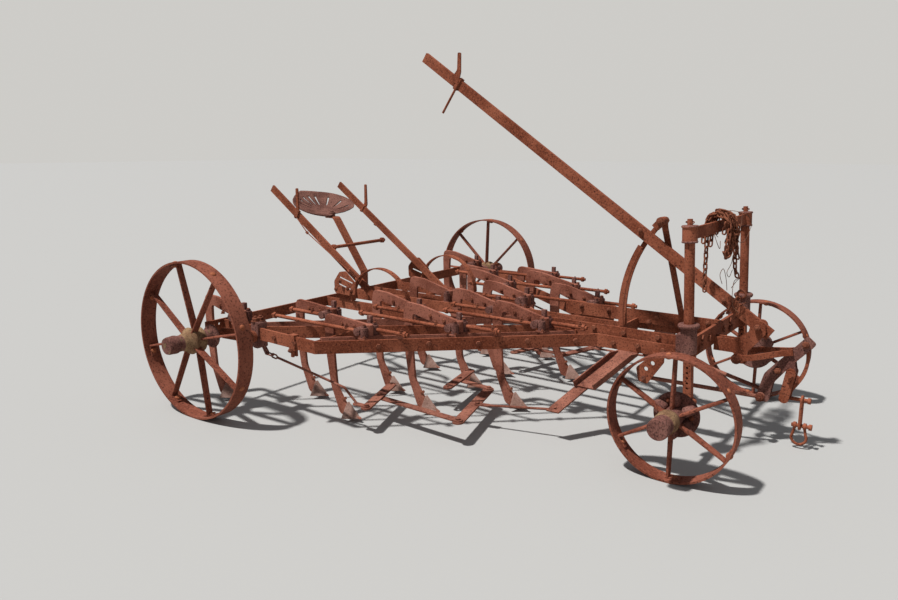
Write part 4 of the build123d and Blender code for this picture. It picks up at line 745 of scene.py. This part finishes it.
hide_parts("seat_pan")
makePiece("seatBolt", copyForm(nutForm(26, 8, 12), *bothSides([seat["boltPlace"]], False)), "seatRust",
          "frame")
print("stage: seat")


def smoothPath(points, count):
    # curve through points in millimetres, each stretch a cubic blend of the four points round it, in metres
    points = np.array(points, float) / 1000
    padded = np.concatenate([2 * points[:1] - points[1:2], points, 2 * points[-1:] - points[-2:-1]])
    place = np.linspace(0, len(points) - 1, count)
    stretch = np.minimum(place.astype(int), len(points) - 2)
    s = (place - stretch)[:, None]
    before, start, end, after = (padded[stretch + shift] for shift in range(4))
    return 0.5 * (2 * start + (end - before) * s + (2 * before - 5 * start + 4 * end - after) * s ** 2
                  + (3 * start - before - 3 * end + after) * s ** 3)


def chainForm(points, link):
    # oval links along a path, every second one turned a quarter: x = half straight + r cos a, y = r sin a
    path = smoothPath(points, 40 * len(points))
    reach = np.concatenate([[0], np.cumsum(np.linalg.norm(np.diff(path, axis=0), axis=1))])
    at = np.arange(link["pitch"] / 2, reach[-1], link["pitch"])
    place, ahead = (np.stack([np.interp(at + shift, reach, path[:, k]) for k in range(3)], 1)
                    for shift in (0, link["pitch"] / 3))
    ahead = unit(ahead - place)
    side = unit(np.cross(ahead, link["lean"]))
    other = np.cross(ahead, side)
    odd = (np.arange(len(at)) % 2 == 1)[:, None]
    side, other = np.where(odd, other, side), np.where(odd, -side, other)
    a = (np.arange(link["corners"]) + 0.5) * 2 * np.pi / link["corners"]
    bend = (link["width"] - link["bar"]) / 2
    straight = (link["length"] - link["width"]) / 2
    oval = np.stack([np.sign(np.cos(a)) * straight + bend * np.cos(a), bend * np.sin(a), 0 * a], 1)
    points, faces = tubeForm(oval, link["bar"] / 2, link["sides"], (0, 0, 1), True)
    moved = (place[:, None] + points[None, :, :1] * ahead[:, None] + points[None, :, 1:2] * side[:, None]
             + points[None, :, 2:] * other[:, None])
    return moved.reshape(-1, 3) + rearAxle, repeatFaces(faces, len(points), len(at))


# Chain thrown over the beam in a tangle: its link in metres, its strands and the hook rod in millimetres
chainLink = {"length": 0.047, "width": 0.03, "bar": 0.0092, "pitch": 0.0295, "corners": 10, "sides": 6,
             "lean": (0.31, 0.87, 0.38)}
tangle = [
    [(2500, -70, 1100), (2506, -75, 1165), (2457, -70, 1195), (2415, -65, 1165), (2412, -62, 1080),
     (2414, -64, 980), (2416, -66, 880), (2420, -68, 790)],
    [(2412, 100, 1080), (2416, 100, 1165), (2457, 104, 1196), (2504, 106, 1165), (2512, 108, 1080),
     (2515, 112, 980), (2520, 115, 900), (2540, 85, 865)],
    [(2408, -110, 1050), (2412, -100, 1130), (2430, -80, 1192), (2470, -70, 1200), (2512, -60, 1160),
     (2520, -50, 1100), (2517, -45, 1030), (2512, -20, 990), (2515, 15, 1010), (2518, 30, 1080),
     (2510, 35, 1160), (2470, 45, 1197), (2425, 50, 1170), (2410, 45, 1100)],
    [(2408, 0, 1100), (2415, -10, 1170), (2440, -20, 1207), (2480, -35, 1207), (2519, -55, 1150),
     (2528, -80, 1080), (2525, -90, 1030), (2520, -70, 980), (2522, -40, 1020), (2527, 0, 1070),
     (2530, 40, 1075), (2527, 75, 1040), (2522, 85, 990)],
    [(2520, 115, 1130), (2528, 90, 1090), (2530, 60, 1050), (2530, 85, 1000), (2532, 100, 960)],
    [(2420, -60, 1180), (2460, -40, 1212), (2500, -20, 1200), (2531, 0, 1150), (2536, 20, 1100),
     (2534, 45, 1120), (2532, 60, 1080), (2534, 30, 1045), (2536, -10, 1060), (2534, -40, 1110)],
    [(2408, 20, 1020), (2412, 30, 1100), (2418, 35, 1170), (2457, 30, 1203), (2510, 20, 1170),
     (2520, 10, 1100), (2523, 30, 1040), (2520, 70, 1050), (2516, 85, 1120), (2508, 75, 1170),
     (2457, 75, 1200), (2414, 75, 1165), (2408, 70, 1100)],
    [(2408, -30, 1080), (2414, -30, 1165), (2457, -28, 1197), (2508, -30, 1165), (2515, -35, 1090),
     (2512, -60, 1050)],
]
hookRod = {"radius": 0.0055, "path": [
    (2530, -170, 1020), (2540, -150, 990), (2543, -100, 985), (2540, -50, 1005), (2533, -20, 1045)]}
tangleForms = [chainForm(points, chainLink) for points in tangle]
tangleForms.append(tubeForm(smoothPath(hookRod["path"], 22) + rearAxle, hookRod["radius"], 8, (1, 0, 0.2)))
beamChain = makePiece("beamChainTangle", joinForms(tangleForms), "chainRust", "frame", True)
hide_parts("beam_chain")

# Wires: paths in millimetres, thin and rusty, pale where the coating is left
wires = {
    "beamWires": {"radius": 0.0016, "body": "frame", "paths": [
        [(2515, 200, 1185), (2520, 170, 1130), (2525, 110, 1095), (2520, 50, 1070)],
        [(2410, 240, 1170), (2420, 310, 1190), (2500, 340, 1170), (2520, 380, 1120), (2520, 360, 1080),
         (2525, 270, 1040), (2525, 170, 1030), (2523, 100, 1060)],
        [(2530, -230, 1080), (2550, -300, 1050), (2540, -330, 1090), (2520, -300, 1120), (2520, -240, 1100)],
        [(2530, 20, 980), (2535, -20, 940), (2530, -70, 900), (2532, -30, 870), (2530, 30, 900)]]},
    "leverWires": {"radius": 0.0017, "body": "front_lever", "paths": [
        [(2530, 34, 800), (2550, 60, 840), (2575, 30, 860), (2560, -30, 850), (2560, -50, 780),
         (2570, -55, 720), (2600, -50, 690)],
        [(2500, -36, 830), (2490, -50, 880), (2500, -30, 910), (2520, -40, 860), (2530, -45, 800)]]},
}
for pieceName, values in wires.items():
    forms = [tubeForm(smoothPath(points, 12 * len(points)) + rearAxle, values["radius"], 6, (0.5, 0.3, 0.81))
             for points in values["paths"]]
    makePiece(pieceName, joinForms(forms), "wireRust", values["body"], True)

# Bow round the front lever with a ring on top, where the chain's right strand was hooked, and two wraps of
# wire: for each loop how far it is up the lever, how much it leans and its share of the bow's bar
leverBow = {"tilt": 34.5, "place": (2.553, 0.0, 0.718), "aside": 0.031, "above": 0.053, "bar": 0.0052,
            "loops": ((0.0, 0.15, 1), (-0.024, -0.35, 0.5), (-0.034, 0.4, 0.5)), "ring": 0.021,
            "ringBar": 0.0062, "bolts": ((2028, -22.5, 1083, "-y"), (2510, -22.5, 742, "-y"))}
leverTilt = math.radians(leverBow["tilt"])
leverAlong = np.array((-math.cos(leverTilt), 0, math.sin(leverTilt)))
leverOver = np.array((math.sin(leverTilt), 0, math.cos(leverTilt)))
bowTurn = np.linspace(0, 2 * np.pi, 29)[:-1, None]
bowMiddle = np.array(leverBow["place"]) + rearAxle


def roundedBow(middle, lean):
    # ring pulled square: point = middle + aside |cos|^0.5 y + above |sin|^0.5 over, leaning along the lever
    aside = leverBow["aside"] * np.sign(np.cos(bowTurn)) * np.abs(np.cos(bowTurn)) ** 0.5
    above = leverBow["above"] * np.sign(np.sin(bowTurn)) * np.abs(np.sin(bowTurn)) ** 0.5
    return middle + aside * np.array((0, 1, 0)) + above * (leverOver + lean * leverAlong)


bowForms = [tubeForm(roundedBow(bowMiddle + step * leverAlong, lean), leverBow["bar"] * size, 8, leverAlong,
                     True) for step, lean, size in leverBow["loops"]]
ringMiddle = bowMiddle + leverOver * (leverBow["above"] + leverBow["ring"])
ringPath = ringMiddle + leverBow["ring"] * (np.cos(bowTurn) * leverAlong + np.sin(bowTurn) * leverOver)
bowForms.append(tubeForm(ringPath, leverBow["ringBar"], 8, (0, 1, 0), True))
makePiece("leverBow", joinForms(bowForms), "chainRust", "front_lever", True)
makePiece("leverBolts", copyForm(nutForm(22, 12, 6, 6, 30), *bothSides(leverBow["bolts"], False)), "boltRust",
          "front_lever")
print("stage: chain and wires")

# Floor, light and camera
stageLook = {
    "floorColour": (0.33, 0.323, 0.308), "floorRoughness": 0.9, "floorSize": 160.0,
    "skyColour": (0.84, 0.88, 0.95), "skyStrength": 0.34,
    "backdropColour": (0.615, 0.605, 0.58), "backdropStrength": 1.0,
    "sunPlace": (-0.3, -0.5, 1.25), "sunStrength": 5.4, "sunAngle": 3.0,
    "fillPlace": (5.5, -4.5, 3.6), "fillAim": (0, 0, 0.5), "fillEnergy": 22.0, "fillSize": 4.0,
}
floorMesh = bpy.data.meshes.new("floor")
half = stageLook["floorSize"] / 2
floorMesh.from_pydata([(-half, -half, 0), (half, -half, 0), (half, half, 0), (-half, half, 0)], [],
                      [(0, 1, 2, 3)])
floor = bpy.data.objects.new("floor", floorMesh)
bpy.context.scene.collection.objects.link(floor)
floorMaterial = bpy.data.materials.new("paleFloor")
floorMaterial.use_nodes = True
floorShader = floorMaterial.node_tree.nodes["Principled BSDF"]
floorShader.inputs["Base Color"].default_value = (*stageLook["floorColour"], 1)
floorShader.inputs["Roughness"].default_value = stageLook["floorRoughness"]
floorMesh.materials.append(floorMaterial)

# Sky light on the machine, and a pale backdrop where the camera sees past the floor
world = bpy.data.worlds.new("softSky")
world.use_nodes = True
skyNodes = world.node_tree.nodes
skyLinks = world.node_tree.links
sky = skyNodes["Background"]
sky.inputs["Color"].default_value = (*stageLook["skyColour"], 1)
sky.inputs["Strength"].default_value = stageLook["skyStrength"]
backdrop = newNode(skyNodes, "ShaderNodeBackground", Color=(*stageLook["backdropColour"], 1),
                   Strength=stageLook["backdropStrength"])
seenStraight = newNode(skyNodes, "ShaderNodeLightPath")
skyMix = newNode(skyNodes, "ShaderNodeMixShader")
skyLinks.new(seenStraight.outputs["Is Camera Ray"], skyMix.inputs["Fac"])
skyLinks.new(sky.outputs["Background"], skyMix.inputs[1])
skyLinks.new(backdrop.outputs["Background"], skyMix.inputs[2])
skyLinks.new(skyMix.outputs["Shader"], skyNodes["World Output"].inputs["Surface"])
bpy.context.scene.world = world


def placeLamp(name, kind, place, aim):
    # a lamp of a kind at a place, turned towards a point
    lamp = bpy.data.lights.new(name, kind)
    lampObject = bpy.data.objects.new(name, lamp)
    lampObject.location = place
    toward = unit(np.array(aim, float) - np.array(place, float))
    lampObject.rotation_euler = (math.acos(-toward[2]), 0, math.atan2(-toward[0], toward[1]))
    bpy.context.scene.collection.objects.link(lampObject)
    return lamp


sun = placeLamp("sunLight", "SUN", stageLook["sunPlace"], (0, 0, 0))
sun.energy = stageLook["sunStrength"]
sun.angle = math.radians(stageLook["sunAngle"])
fill = placeLamp("fillLight", "AREA", stageLook["fillPlace"], stageLook["fillAim"])
fill.energy = stageLook["fillEnergy"]
fill.size = stageLook["fillSize"]

view = {"ahead": 3.6087, "aside": -4.0158, "height": 1.5336, "yaw": 36.04, "pitch": 11.54,
        "focalPixels": 743.106, "width": 898, "farthest": 300}
lens = bpy.data.cameras.new("camera")
lens.sensor_width = 36
lens.lens = view["focalPixels"] / view["width"] * lens.sensor_width
lens.clip_end = view["farthest"]
camera = bpy.data.objects.new("camera", lens)
camera.location = (view["ahead"] + rearAxle[0], view["aside"], view["height"])
camera.rotation_euler = (math.radians(90 - view["pitch"]), 0, math.radians(view["yaw"]))
bpy.context.scene.collection.objects.link(camera)
bpy.context.scene.camera = camera
bpy.context.scene.view_settings.view_transform = "Standard"
print("stage: floor, light and camera")
